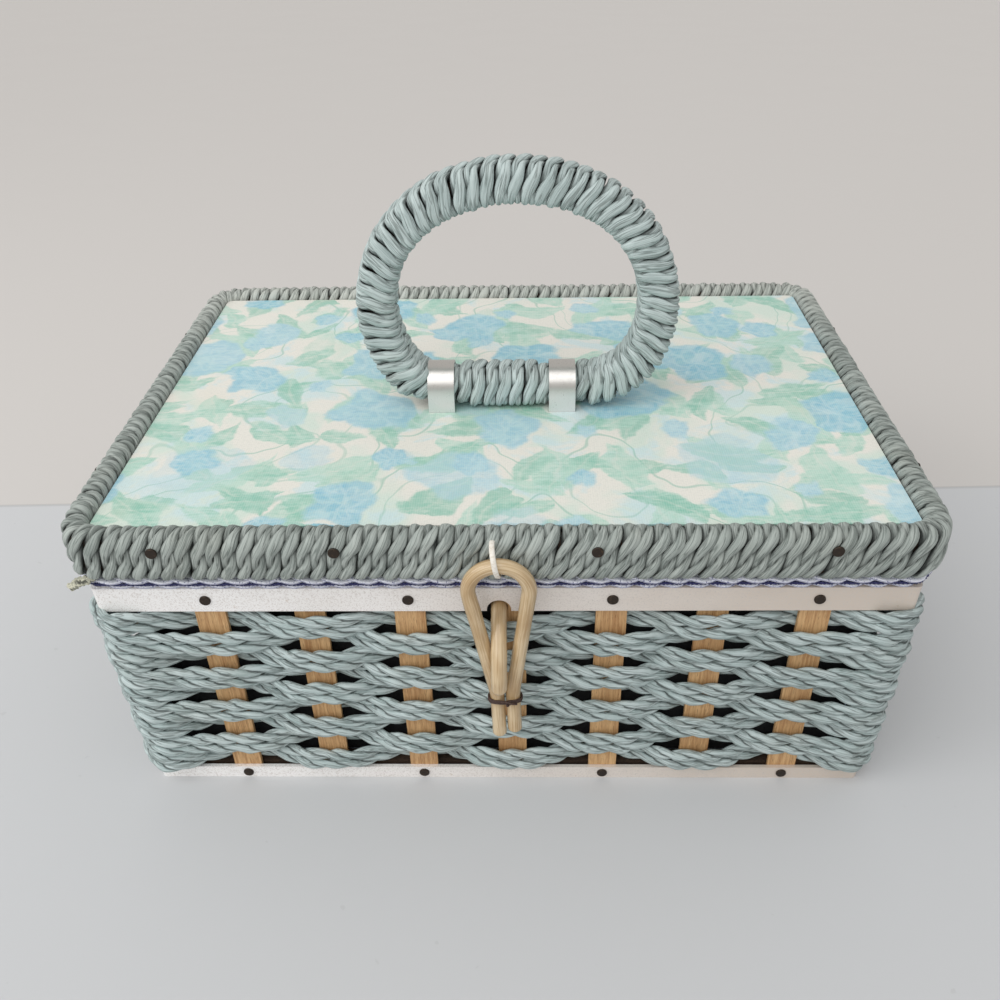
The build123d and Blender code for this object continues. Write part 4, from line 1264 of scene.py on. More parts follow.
# ---- basket
@dataclass
class WovenWalls:
    """Bands, staves and nine courses of paired cord on the basket's four walls."""

    plan: WallPlan = field(default_factory=WallPlan)
    cord: PlySizes = PlySizes((0.96, 0.8), (1.74, 1.14), (1.1, 1.42), 0.34)
    weave_offset: float = 3.25
    corner_radius: float = 6.85
    cord_rise: float = 2.0
    spread: float = 0.3
    stave_hold: float = 4.0
    corner_bulge: float = 6.0
    corner_span: float = 16.0
    corner_lift: float = 4.3
    corner_calm: float = 0.75
    slump: tuple = (1.1, 3.6, -7.4)
    pitch: float = 18.4
    wander_out: float = 0.22
    wander_up: float = 0.3
    band_gap: float = 1.75
    peg_x: float = -1.2
    peg_dip: float = 3.0
    peg_dip_below: float = 1.65
    peg_span: float = 7.0

    def stave_lengths(self, half_x: float, half_y: float) -> list[float]:
        """Distance round the wall to each stave, from the middle of the front-left corner."""
        arc = math.pi / 2 * self.corner_radius
        start = arc / 2
        found = []
        for wall in WALLS:
            half = half_x if wall in ("front", "back") else half_y
            found += [start + half - self.corner_radius + spot for spot in self.plan.stave_spots(wall)]
            start += 2 * (half - self.corner_radius) + arc
        return found

    def sides(self, lengths: np.ndarray, staves: Sequence[float], total: float, parity: int) -> np.ndarray:
        """How far outside (1) or inside (-1) of the staves a course runs.

        Args:
            lengths: Distances round the wall.
            staves: Distance to each stave.
            total: Distance all the way round.
            parity: 1 for odd courses, 0 for even ones.

        Returns:
            The side at each distance.
        """
        count = len(staves)
        result = np.zeros(len(lengths))
        for index in range(count):
            here = staves[index]
            gap = (staves[(index + 1) % count] - here) % total
            beyond = (lengths - here) % total
            share = beyond / gap
            held = self.stave_hold / gap
            eased = np.clip((share - held) / (1 - 2 * held), 0, 1)
            sign = 1.0 if (index + parity) % 2 == 0 else -1.0
            result = np.where(beyond < gap, sign * np.cos(np.pi * eased), result)
        return result

    def route(self, number: int, upper: bool) -> list[tuple]:
        """The line of one of a course's two cords.

        Args:
            number: The course, 1 at the bottom.
            upper: Whether it is the upper cord.

        Returns:
            Its points, in millimetres.
        """
        rise = self.cord_rise if upper else -self.cord_rise
        share = (number - 0.5) / self.plan.courses
        level, slope, curve = self.slump
        z = self.plan.course_middle(number) + level + slope * share + curve * share * share + rise
        half_x = self.plan.reach(False, z, self.plan.stave_middle)
        half_y = self.plan.reach(True, z, self.plan.stave_middle)
        ring = np.array(rounded_ring(half_x, half_y, self.corner_radius, 1.2, z))
        following = np.roll(ring, -1, axis=0) - np.roll(ring, 1, axis=0)
        normal = np.stack([following[:, 1], -following[:, 0]], axis=1)
        normal /= np.linalg.norm(normal, axis=1)[:, None]
        total = line_length(ring, True)
        lengths = np.arange(len(ring)) * total / len(ring)
        side = self.sides(lengths, self.stave_lengths(half_x, half_y), total, number % 2)
        gaps = np.hypot(half_x - np.abs(ring[:, 0]), half_y - np.abs(ring[:, 1]))
        corner = np.exp(-((gaps / self.corner_span) ** 2))
        random = np.random.default_rng(100 + 2 * number + int(upper))
        side = side * (1 - self.corner_calm * corner)
        out = side * self.weave_offset + corner * self.corner_bulge + sway(random, len(ring), self.wander_out)
        ring[:, :2] += normal * out[:, None]
        ring[:, 2] += corner * self.corner_lift * share ** 4
        lift = self.spread * np.clip(side + 0.2, -0.35, 1.0)
        ring[:, 2] += np.where(upper, lift, -lift) + sway(random, len(ring), self.wander_up)
        if number == self.plan.courses:
            near = np.exp(-(((ring[:, 0] - self.peg_x) / self.peg_span) ** 2)) * (ring[:, 1] < 0)
            ring[:, 2] -= near * (self.peg_dip if upper else self.peg_dip_below)
            highest = self.plan.top_band_low - self.band_gap + corner * self.corner_lift
            ring[:, 2] = np.minimum(ring[:, 2], highest)
        return [tuple(point) for point in ring]

    def build(self, finishes: Finishes) -> None:
        """Makes the courses and dresses the bands, staves, rails and nails."""
        cord = TwistedCord(2, True)
        material = finishes.get(finishes.weave)
        for number in range(1, self.plan.courses + 1):
            meshes = []
            for upper in (False, True):
                points = self.route(number, upper)
                length = line_length(points, True)
                values = {"Rings": round(length), "Turns": float(round(length / self.pitch)),
                          **self.cord.inputs(), "Phase": 1.9 * number + 2.6 * upper,
                          "Seed": float(2 * number + upper), "Lay length": length, "Material": material}
                name = f"course_{number}_{'upper' if upper else 'lower'}"
                meshes.append(cord.make(name, points, True, values))
            join_strands(f"weave_cords_{number}", meshes, Body.BASKET, finishes.weave.slot,
                         f"weave_course_{number}")
        for wall in WALLS:
            finishes.dress(finishes.pearl, f"top_band_{wall}", f"bottom_band_{wall}")
            finishes.dress(finishes.stave, f"staves_{wall}")
            finishes.dress(finishes.rail, f"top_rail_{wall}")
        finishes.dress(finishes.nail, "top_band_nails", "bottom_band_nails")
        finishes.dress(finishes.hardboard, "bottom_board")


def sway(random: np.random.Generator, count: int, size: float) -> np.ndarray:
    """A smooth wander that closes on itself.

    Args:
        random: Seeded source of chance.
        count: Number of points.
        size: About how far it strays, in millimetres.

    Returns:
        The wander at each point.
    """
    share = np.arange(count) / count * TURN
    total = np.zeros(count)
    for waves in (5, 9, 14, 22, 31, 47):
        total += np.sin(share * waves + random.uniform(0, TURN)) * random.uniform(0.3, 1.0)
    return total / 2.0 * size


@dataclass
class GimpBraid:
    """A flat gimp braid with a thin navy cord along its outer edge."""

    name: str
    node: str
    body: Body
    half_x: float
    half_y: float
    z: float
    cord_z: float
    cord_inset: float
    seed: float
    width: float = 7.2
    corner: float = 4.6
    repeat: float = 24.0
    strands: int = 3
    strand_swing: float = 2.1
    strand_lift: float = 0.42
    strand_width: float = 1.5
    strand_height: float = 0.72
    wander: float = 0.26
    cord: PlySizes = PlySizes((0.3, 0.3), (0.4, 0.36), (0.36, 0.4), 0.3)
    cord_pitch: float = 2.6
    cord_sway: tuple = (0.0022, 0.003, 0.28)

    def build(self, finishes: Finishes) -> None:
        """Makes the plait and its cord."""
        middle = self.width / 2
        ring = rounded_ring(self.half_x - middle, self.half_y - middle, self.corner, 1.5, self.z)
        length = line_length(ring, True)
        repeats = round(length / self.repeat)
        values = {
            "Rings": round(length / 0.9), "Repeats": float(repeats), "Half width": self.strand_swing * MM,
            "Lift": self.strand_lift * MM, "Strand width": self.strand_width * MM,
            "Strand height": self.strand_height * MM, "Wander": self.wander * MM, "Seed": self.seed,
            "Lay length": length, "Material": finishes.get(finishes.gimp)}
        plait = Plait(self.strands).make(self.name, ring, True, values)
        join_strands(self.name, [plait], self.body, finishes.gimp.slot, self.node)

        inset = self.cord_inset
        radius = self.corner + middle - inset
        edge = rounded_ring(self.half_x - inset, self.half_y - inset, radius, 1.2, self.cord_z)
        count = len(edge)
        waves = self.strands * repeats
        sway_x, sway_y, sway_z = self.cord_sway
        points = []
        for index, (x, y, z) in enumerate(edge):
            swing = math.cos(TURN * waves * index / count + self.seed)
            points.append((x * (1 + sway_x * swing), y * (1 + sway_y * swing), z + sway_z * swing))
        length = line_length(points, True)
        values = {"Rings": round(length / 0.8), "Sides": 6, "Turns": float(round(length / self.cord_pitch)),
                  **self.cord.inputs(), "Seed": self.seed, "Lay length": length,
                  "Material": finishes.get(finishes.navy)}
        name = f"{self.name}_cord"
        cord = TwistedCord(2, True).make(name, points, True, values)
        join_strands(name, [cord], self.body, finishes.navy.slot)


# ---- lid
@dataclass
class LidRim:
    """The lid's wooden rails, bound closely all round with twisted paper cord."""

    path_half_x: float = 133.8
    path_half_y: float = 96.2
    path_corner: float = 10.0
    z: float = 106.8
    half_depth: float = 3.6
    end_half_depth: float = 2.9
    winding: Winding = Winding(
        PlySizes((1.25, 0.6), (2.4, 1.3), (1.05, 1.35), 0.6), half_height=7.5, squareness=3.6,
        turns_per_wrap=2.0, phase=math.pi / 2, rings_per_wrap=40, lay_per_wrap=46.0, wander=0.5)
    stray_cord: PlySizes = PlySizes((0.75, 0.5), (1.2, 1.0), (0.7, 0.8), 0.6)
    stray_line: tuple = ((-127.0, -98.0, 98.6), (-132.5, -98.6, 97.3), (-136.4, -98.2, 94.4))
    wraps: tuple = (57, 41, 57, 41)
    leans: tuple = ((0.35, 1.5), (1.0, 0.8), (0.8, 0.9), (0.8, 0.6))

    def build(self, finishes: Finishes) -> None:
        """Makes the winding of the four rails and its loose end, and dresses the lid's other parts."""
        recipe = WoundCord()
        ring = rounded_ring(self.path_half_x, self.path_half_y, self.path_corner, 1.2, self.z)
        total = line_length(ring, True)
        quarter = math.pi / 2 * self.path_corner
        start = 0.0
        for number, wall in enumerate(WALLS):
            long_wall = wall in ("front", "back")
            half = self.path_half_x if long_wall else self.path_half_y
            depth = self.half_depth if long_wall else self.end_half_depth
            stop = start + 2 * (half - self.path_corner) + quarter
            values = {"From": start / total, "To": stop / total, "Material": finishes.get(finishes.rim),
                      **self.winding.inputs(self.wraps[number], depth, self.leans[number], float(3 + number))}
            name = f"rim_winding_{wall}"
            mesh = recipe.make(name, ring, True, values)
            join_strands(name, [mesh], Body.LID, finishes.rim.slot, f"lid_wrap_{wall}")
            start = stop
        self.stray_end(finishes)
        # The rails take the near-black core finish, a painted shadow seen between the wraps.
        finishes.dress(finishes.core, *[f"lid_rail_{wall}" for wall in WALLS])
        finishes.dress(finishes.nail, "lid_nails")
        finishes.dress(finishes.lid_wood, "lid_board")
        finishes.dress(finishes.printed, "lid_cover")
        for side in ("left", "right"):
            finishes.dress(finishes.strap, f"handle_strap_{side}")
            finishes.dress(finishes.wire, f"hinge_eye_{side}", f"hinge_staple_{side}")

    def stray_end(self, finishes: Finishes) -> None:
        """Makes the cord's loose end, which pokes out under the rim at its front left corner."""
        points = rounded_line(self.stray_line, (3.0,), 0.4)
        length = line_length(points, False)
        values = {
            "Rings": 40, "Sides": 9, "Turns": 0.7, "Cap": 0.16, **self.stray_cord.inputs(), "Seed": 31.0,
            "Lay length": length, "Material": finishes.get(finishes.stray)}
        name = "rim_loose_end"
        mesh = TwistedCord(2, False).make(name, points, False, values)
        join_strands(name, [mesh], Body.LID, finishes.rim.slot)


# ---- handle
@dataclass
class RingHandle:
    """The folding ring: a cane core wound with twisted paper cord."""

    x: float = 4.9
    y: float = -9.5
    z: float = 120.25
    rise: float = 74.7
    crown_radius: float = 60.0
    crown_half_angle: float = 25.0
    shoulder_radius: float = 42.0
    flat_left: float = 28.4
    flat_right: float = 24.0
    pitch: float = 4.8
    half_depth: float = 5.6
    lean: float = 0.6
    winding: Winding = Winding(
        PlySizes((1.15, 0.62), (2.4, 1.2), (1.05, 1.35), 0.5), half_height=6.0, squareness=8.0,
        turns_per_wrap=1.5, phase=0.75 * math.pi, rings_per_wrap=34, lay_per_wrap=35.0, wander=0.34)
    left_strap: float = -23.2
    right_strap: float = 21.0
    strap_rise: float = 10.0

    def corner(self, flat_half: float) -> tuple[float, float, float, float]:
        """Shoulder centre, corner radius and the angle where they meet, for one end of the flat bar."""
        half_angle = math.radians(self.crown_half_angle)
        offset = self.crown_radius - self.shoulder_radius
        shoulder_x = offset * math.sin(half_angle)
        shoulder_z = self.rise - self.crown_radius + offset * math.cos(half_angle)
        radius = self.shoulder_radius ** 2 - shoulder_z ** 2 - (flat_half - shoulder_x) ** 2
        radius = radius / (2 * (self.shoulder_radius - shoulder_z))
        angle = math.degrees(math.atan2(radius - shoulder_z, flat_half - shoulder_x))
        return shoulder_x, shoulder_z, radius, angle

    def route(self) -> list[tuple]:
        """The ring's line: flat bar, right side, crown and left side."""
        shoulder_x, shoulder_z, right_radius, right_angle = self.corner(self.flat_right)
        _, _, left_radius, left_angle = self.corner(self.flat_left)
        top = 90 - self.crown_half_angle
        arcs = [((self.flat_right, right_radius), right_radius, -90, right_angle),
                ((shoulder_x, shoulder_z), self.shoulder_radius, right_angle, top),
                ((0.0, self.rise - self.crown_radius), self.crown_radius, top, 180 - top),
                ((-shoulder_x, shoulder_z), self.shoulder_radius, 180 - top, 180 - left_angle),
                ((-self.flat_left, left_radius), left_radius, 180 - left_angle, 270)]
        flat = [(x, 0.0) for x in np.arange(-self.flat_left, self.flat_right, 1.5)]
        points = flat
        for centre, radius, start, stop in arcs:
            points = points + arc_points(centre, radius, start, stop, 1.5)
        return [(self.x + x, self.y, self.z + z) for x, z in points]

    def build(self, finishes: Finishes) -> None:
        """Makes the winding and dresses the core."""
        points = self.route()
        length = line_length(points, True)
        wraps = round(length / self.pitch)
        values = {**self.winding.inputs(wraps, self.half_depth, (self.lean, self.lean), 9.0),
                  "Left strap": self.left_strap * MM, "Right strap": self.right_strap * MM,
                  "Strap top": (self.z + self.strap_rise) * MM, "Axis": (0.0, -1.0, 0.0),
                  "Material": finishes.get(finishes.handle)}
        mesh = WoundCord().make("handle_winding", points, True, values)
        join_strands("handle_winding", [mesh], Body.HANDLE, finishes.handle.slot, "handle_wrap")
        # The core is near-black, a painted shadow seen between the wraps.
        finishes.dress(finishes.core, "handle_core")


def arc_points(centre: tuple, radius: float, start: float, stop: float, step: float) -> list[tuple]:
    """Points along an arc, without its last.

    Args:
        centre: Middle of the arc.
        radius: Its radius.
        start: Its first angle, in degrees.
        stop: Its last angle, in degrees.
        step: Greatest distance between points.

    Returns:
        The points.
    """
    count = max(2, math.ceil(math.radians(abs(stop - start)) * radius / step))
    points = []
    for index in range(count):
        angle = math.radians(start + (stop - start) * index / count)
        points.append((centre[0] + radius * math.cos(angle), centre[1] + radius * math.sin(angle)))
    return points


# ---- closure
@dataclass(frozen=True)
class Rod:
    """A single round strand with rounded ends, in millimetres. Its line never takes the direction of axis."""

    diameter: float
    cap: float
    seed: float
    step: float = 0.45
    axis: tuple = (0.0, 1.0, 0.0)
    unevenness: float = 0.09

    def make(self, recipe: TwistedCord, name: str, points: Sequence[tuple],
             material: bpy.types.Material) -> bpy.types.Mesh:
        """Makes the rod.

        Args:
            recipe: The tree for a cord of one ply with two ends.
            name: Name of the mesh.
            points: The rod's line.
            material: What it is made of.

        Returns:
            The mesh.
        """
        length = line_length(points, False)
        half = self.diameter / 2
        section = PlySizes((0.0, 0.0), (half, half), (half, half), self.unevenness)
        values = {"Rings": round(length / self.step), "Sides": 20, "Turns": 0.0, **section.inputs(),
                  "Seed": self.seed, "Lay length": length, "Cap": self.cap / length, "Axis": self.axis,
                  "Material": material}
        return recipe.make(name, points, False, values)


@dataclass
class Closure:
    """Rattan loop and peg, the thread that ties the loop's legs and the lace that hangs it from the rim."""

    x: float = -1.2
    loop_y: float = -104.2
    loop_top: float = 107.35
    loop_rod: Rod = Rod(4.8, cap=0.9, seed=2.0)
    bend_radius: float = 9.4
    loop_length: float = 71.0
    short_leg: float = 1.8
    leg_gap: float = 0.4
    leg_radius: float = 16.0
    straight: float = 17.8
    tilt: float = 1.8
    tie_above_end: float = 16.8
    lace_radius: float = 5.5
    lace_back: float = 2.0
    lace_rise: float = 1.2
    lace_lean: float = 0.18
    lace_left: float = 0.5
    lace_rod: PlySizes = PlySizes((0.0, 0.0), (0.85, 0.85), (0.45, 0.45), 0.12)
    tie_rod: Rod = Rod(0.74, cap=0.3, seed=1.0, step=0.3, axis=(0.0, 0.0, 1.0))
    knot_rod: Rod = Rod(0.74, cap=0.3, seed=4.0, step=0.25)
    peg_rod: Rod = Rod(5.2, cap=2.4, seed=6.0, axis=(1.0, 0.0, 0.0))
    peg_bends: tuple = (12.0, 14.0)
    peg_points: tuple = (
        (-1.2, -88.15, 84.2), (-1.2, -102.45, 80.6), (-1.2, -109.7, 69.9), (-1.2, -109.7, 60.3))

    def loop_route(self) -> list[tuple]:
        """The loop's line, up its left leg, round its top and down its right leg."""
        leg_x = (self.loop_rod.diameter + self.leg_gap) / 2
        bend_z = self.loop_top - self.bend_radius
        end_z = self.loop_top - self.loop_length
        turn_z = end_z + self.straight
        reach_x = leg_x + self.leg_radius
        distance = math.hypot(reach_x, bend_z - turn_z)
        slope = math.asin((self.bend_radius + self.leg_radius) / distance)
        slope = math.degrees(slope - math.atan2(reach_x, bend_z - turn_z))
        points = [(-leg_x, z) for z in np.arange(end_z, turn_z, 1.0)]
        points += arc_points((-leg_x - self.leg_radius, turn_z), self.leg_radius, 0, slope, 1.0)
        points += arc_points((0.0, bend_z), self.bend_radius, 180 + slope, -slope, 0.8)
        points += arc_points((leg_x + self.leg_radius, turn_z), self.leg_radius, 180 - slope, 180, 1.0)
        points += [(leg_x, z) for z in np.arange(turn_z, end_z + self.short_leg - 0.1, -1.0)]
        return self.hung([(x, self.loop_y, z) for x, z in points])

    def hung(self, points: list[tuple]) -> list[tuple]:
        """Turns points of an upright loop about the middle of its top and puts them in place."""
        tilt = math.radians(self.tilt)
        placed = []
        for x, y, z in points:
            drop = self.loop_top - z
            placed.append((self.x + x * math.cos(tilt) + drop * math.sin(tilt), y,
                           self.loop_top + x * math.sin(tilt) - drop * math.cos(tilt)))
        return placed

    def tie_route(self) -> list[tuple]:
        """Thread wound round both legs, from behind to its knot in front."""
        half = (self.loop_rod.diameter + self.leg_gap) / 2
        radius = self.loop_rod.diameter / 2 + 0.42
        middle = self.loop_top - self.loop_length + self.tie_above_end
        points = []
        turns = 2.9
        count = 150
        for index in range(count + 1):
            angle = TURN * turns * index / count
            x = half * max(-1.0, min(1.0, 1.35 * math.cos(angle)))
            x += radius * math.cos(angle)
            y = radius * math.sin(angle)
            z = middle - 0.8 + 1.6 * index / count + 0.12 * math.sin(angle * 1.7)
            points.append((x, self.loop_y + y, z))
        return self.hung(points)

    def knot_route(self) -> list[tuple]:
        """A small knot of the thread, with two short ends."""
        middle = self.loop_top - self.loop_length + self.tie_above_end
        front = self.loop_y - self.loop_rod.diameter / 2 - 1.0
        points = []
        for index in range(61):
            share = index / 60
            angle = TURN * 1.5 * share
            spread = 0.4 + 2.6 * abs(2 * share - 1) ** 3
            points.append((1.0 + spread * math.cos(angle), front - 0.45 * math.sin(angle * 2),
                           middle + 0.5 * math.sin(angle) * (1 + spread * 0.3)))
        return self.hung(points)

    def lace_route(self) -> list[tuple]:
        """A ring of lace through the rim and round the loop's rod, a little askew."""
        points = []
        for index in range(72):
            angle = TURN * index / 72
            z = self.lace_radius * math.sin(angle)
            y = self.loop_y + self.lace_back + self.lace_radius * math.cos(angle)
            x = self.x - self.lace_lean * z - self.lace_left
            points.append((x, y, self.loop_top + self.lace_rise + z))
        return points

    def build(self, finishes: Finishes) -> None:
        """Makes the loop, peg, tie and lace."""
        single = TwistedCord(1, False)
        rattan = finishes.get(finishes.rattan)
        thread = finishes.get(finishes.thread)
        loop = self.loop_rod.make(single, "rattan_loop", self.loop_route(), rattan)
        join_strands("rattan_loop", [loop], Body.LOOP, finishes.rattan.slot, "closure_loop")
        peg = self.peg_rod.make(
            single, "rattan_peg", rounded_line(self.peg_points, self.peg_bends, 0.8), rattan)
        join_strands("rattan_peg", [peg], Body.BASKET, finishes.rattan.slot, "closure_peg")
        tie = self.tie_rod.make(single, "thread_tie", self.tie_route(), thread)
        knot = self.knot_rod.make(single, "thread_knot", self.knot_route(), thread)
        join_strands("thread_tie", [tie, knot], Body.LOOP, finishes.thread.slot, "loop_tie")
        points = self.lace_route()
        values = {"Rings": 120, "Sides": 12, "Turns": 0.0, **self.lace_rod.inputs(), "Seed": 5.0,
                  "Lay length": line_length(points, True), "Axis": (1.0, 0.0, 0.0),
                  "Material": finishes.get(finishes.lace)}
        lace = TwistedCord(1, True).make("loop_lacing", points, True, values)
        join_strands("loop_lacing", [lace], Body.LID, finishes.lace.slot, "loop_lace")


def rounded_line(points: Sequence[tuple], radii: Sequence[float], step: float) -> list[tuple]:
    """A line of straight runs whose corners are rounded.

    Args:
        points: The line's corners.
        radii: Radius at each inner corner.
        step: Distance between the points that are returned.

    Returns:
        Points along the line.
    """
    corners = [Vector(point) for point in points]
    result = [corners[0]]
    for number, radius in enumerate(radii, start=1):
        before = (corners[number - 1] - corners[number]).normalized()
        after = (corners[number + 1] - corners[number]).normalized()
        half = before.angle(after) / 2
        reach = radius / math.tan(half)
        centre = corners[number] + (before + after).normalized() * (radius / math.sin(half))
        first = corners[number] + before * reach - centre
        last = corners[number] + after * reach - centre
        count = max(3, math.ceil(first.angle(last) * radius / step))
        for index in range(count + 1):
            turn = first.rotation_difference(last)
            result.append(centre + Matrix.Rotation(turn.angle * index / count, 3, turn.axis) @ first)
    result.append(corners[-1])
    filled = [result[0]]
    for start, stop in zip(result, result[1:]):
        count = max(1, round((stop - start).length / step))
        filled += [start.lerp(stop, index / count) for index in range(1, count + 1)]
    return [tuple(point) for point in filled]


# ---- lining
@dataclass
class SatinPad:
    """A thin padded panel covered in satin, with near-black card on its hidden side: a painted shadow that
    the weave's gaps show.

    corners are the card's four corners in millimetres, in order, and inward points to the side that shows.
    """

    name: str
    node: str
    body: Body
    corners: tuple
    inward: tuple
    thickness: float
    puff: float
    across: int
    along: int
    seed: int
    edge: float = 1.2
    pucker: float = 0.12
    pressure: float = 4.0
    stretch: float = 4.0
    squeeze: float = 3.0
    bending: float = 0.05
    frames: int = 20

    def grid_points(self) -> tuple[np.ndarray, np.ndarray]:
        """The card's points and how far each stands from the nearest edge, nought to one."""
        first, second, third, fourth = (np.array(corner, float) for corner in self.corners)
        points = []
        edges = []
        for row in range(self.along + 1):
            for column in range(self.across + 1):
                u = column / self.across
                v = row / self.along
                low = first + (second - first) * u
                high = fourth + (third - fourth) * u
                points.append(low + (high - low) * v)
                edges.append(min(u, 1 - u, v, 1 - v))
        return np.array(points), np.array(edges)

    def slab(self) -> bpy.types.Mesh:
        """The pad before it is puffed: a closed slab whose show side is crowned and puckered."""
        shadow_card, edges = self.grid_points()
        inward = np.array(self.inward, float)
        inward /= np.linalg.norm(inward)
        random = np.random.default_rng(self.seed)
        rise = np.clip(edges * 9, 0, 1) ** 0.5
        depth = self.edge + (self.thickness - self.edge) * rise
        depth = depth + random.uniform(-self.pucker, self.pucker, len(depth)) * rise
        show = shadow_card + inward * depth[:, None]
        width = self.across + 1
        count = len(shadow_card)
        faces = []
        for row in range(self.along):
            for column in range(self.across):
                a = row * width + column
                faces.append((a, a + 1, a + 1 + width, a + width))
                faces.append((count + a, count + a + width, count + a + 1 + width, count + a + 1))
        rim = list(range(width - 1)) + [row * width + width - 1 for row in range(self.along)]
        rim += [self.along * width + column for column in range(width - 1, 0, -1)]
        rim += [row * width for row in range(self.along, 0, -1)]
        for here, there in zip(rim, rim[1:] + rim[:1]):
            faces.append((here, count + here, count + there, there))
        mesh = bpy.data.meshes.new(self.name)
        mesh.from_pydata((np.vstack([shadow_card, show]) * MM).tolist(), [], faces)
        face_outwards(mesh)
        return mesh

    def puffed(self, piece: bpy.types.Object) -> None:
        """Swells the show side with air pressure, held along its edges."""
        scene = bpy.context.scene
        mesh = piece.data
        half = len(mesh.vertices) // 2
        held = piece.vertex_groups.new(name="held")
        _, edges = self.grid_points()
        pinned = list(range(half)) + [half + index for index in range(half) if edges[index] <= 0]
        held.add(pinned, 1.0, "REPLACE")
        cloth = piece.modifiers.new("Air", "CLOTH")
        cloth.settings.effector_weights.gravity = 0.0
        choices = {"vertex_group_mass": "held", "use_pressure": True, "uniform_pressure_force": self.pressure,
                   "quality": 4, "tension_stiffness": self.stretch, "compression_stiffness": self.squeeze,
                   "bending_stiffness": self.bending}
        for name, choice in choices.items():
            setattr(cloth.settings, name, choice)
        for number in range(1, self.frames + 1):
            scene.frame_set(number)
        graph = bpy.context.evaluated_depsgraph_get()
        moved = np.zeros(len(mesh.vertices) * 3)
        evaluated = piece.evaluated_get(graph).to_mesh()
        evaluated.vertices.foreach_get("co", moved)
        rest = np.zeros(len(mesh.vertices) * 3)
        mesh.vertices.foreach_get("co", rest)
        shift = (moved - rest).reshape(-1, 3)
        size = np.linalg.norm(shift, axis=1)
        limit = self.puff * MM
        scale = np.where(size > 1e-9, limit * np.tanh(size / limit) / np.maximum(size, 1e-9), 0.0)
        piece.modifiers.remove(cloth)
        scene.frame_set(1)
        placed = rest.reshape(-1, 3) + shift * scale[:, None]
        mesh.vertices.foreach_set("co", placed.ravel())
        piece.vertex_groups.clear()

    def build(self, finishes: Finishes) -> None:
        """Makes, puffs and dresses the pad."""
        mesh = self.slab()
        mesh.materials.append(finishes.get(finishes.satin))
        mesh.materials.append(finishes.get(finishes.shadow_card))
        piece = new_piece(self.name, mesh)
        self.puffed(piece)
        half = len(mesh.vertices) // 2
        for polygon in mesh.polygons:
            polygon.material_index = 1 if all(index < half for index in polygon.vertices) else 0
            polygon.use_smooth = True
        smooth = piece.modifiers.new("Smooth", "SUBSURF")
        smooth.levels = 1
        smooth.render_levels = 1
        graph = bpy.context.evaluated_depsgraph_get()
        final = bpy.data.meshes.new_from_object(piece.evaluated_get(graph), depsgraph=graph)
        piece.modifiers.remove(smooth)
        piece.data = final
        settle(piece, self.body, finishes.satin.slot, self.node)


def flat_corners(half_x: float, half_y: float, z: float) -> tuple:
    """Corners of a level rectangle about the middle, from its front-left one, anticlockwise."""
    return ((-half_x, -half_y, z), (half_x, -half_y, z), (half_x, half_y, z), (-half_x, half_y, z))


@dataclass
class Lining:
    """The satin pads inside the basket and the lid."""

    plan: WallPlan = field(default_factory=WallPlan)
    depth: float = 7.98
    thickness: float = 3.0
    low: float = 5.7
    high: float = 91.5
    base_thickness: float = 3.9
    lid_half_x: float = 128.9
    lid_half_y: float = 89.9
    lid_low: float = 97.6
    lid_high: float = 107.7

    def wall_pad(self, number: int, wall: str) -> SatinPad:
        """The pad of one leaning wall."""
        long_wall = wall in ("front", "back")
        corners = []
        for sign, z in ((-1, self.low), (1, self.low), (1, self.high), (-1, self.high)):
            reach = self.plan.reach(long_wall, z, self.depth)
            along = self.plan.reach(not long_wall, z, self.depth) - (-0.2 if long_wall else 1.6)
            corners.append(turned((sign * along, -reach), number, z))
        inward = turned((0.0, 1.0), number, 0.0)
        return SatinPad(
            f"satin_{wall}", f"lining_{wall}", Body.BASKET, tuple(corners), inward, self.thickness, puff=1.6,
            across=34 if long_wall else 24, along=13, seed=40 + number)

    def base_pad(self) -> SatinPad:
        """The pad on the bottom."""
        inset = self.depth + self.thickness - 0.8
        half_x = self.plan.reach(False, self.low, inset)
        half_y = self.plan.reach(True, self.low, inset)
        corners = flat_corners(half_x, half_y, self.low)
        return SatinPad("satin_base", "lining_base_pad", Body.BASKET, corners, (0, 0, 1), self.base_thickness,
                        puff=2.2, across=34, along=24, seed=50)

    def lid_pad(self) -> SatinPad:
        """The pad under the lid, whose show side looks down."""
        corners = flat_corners(self.lid_half_x, self.lid_half_y, self.lid_high)
        thickness = self.lid_high - self.lid_low
        return SatinPad("satin_lid", "lid_lining", Body.LID, corners, (0, 0, -1), thickness,
                        puff=2.6, across=36, along=26, seed=51, edge=6.0)

    def build(self, finishes: Finishes) -> None:
        """Makes the six pads."""
        for number, wall in enumerate(WALLS):
            self.wall_pad(number, wall).build(finishes)
        self.base_pad().build(finishes)
        self.lid_pad().build(finishes)


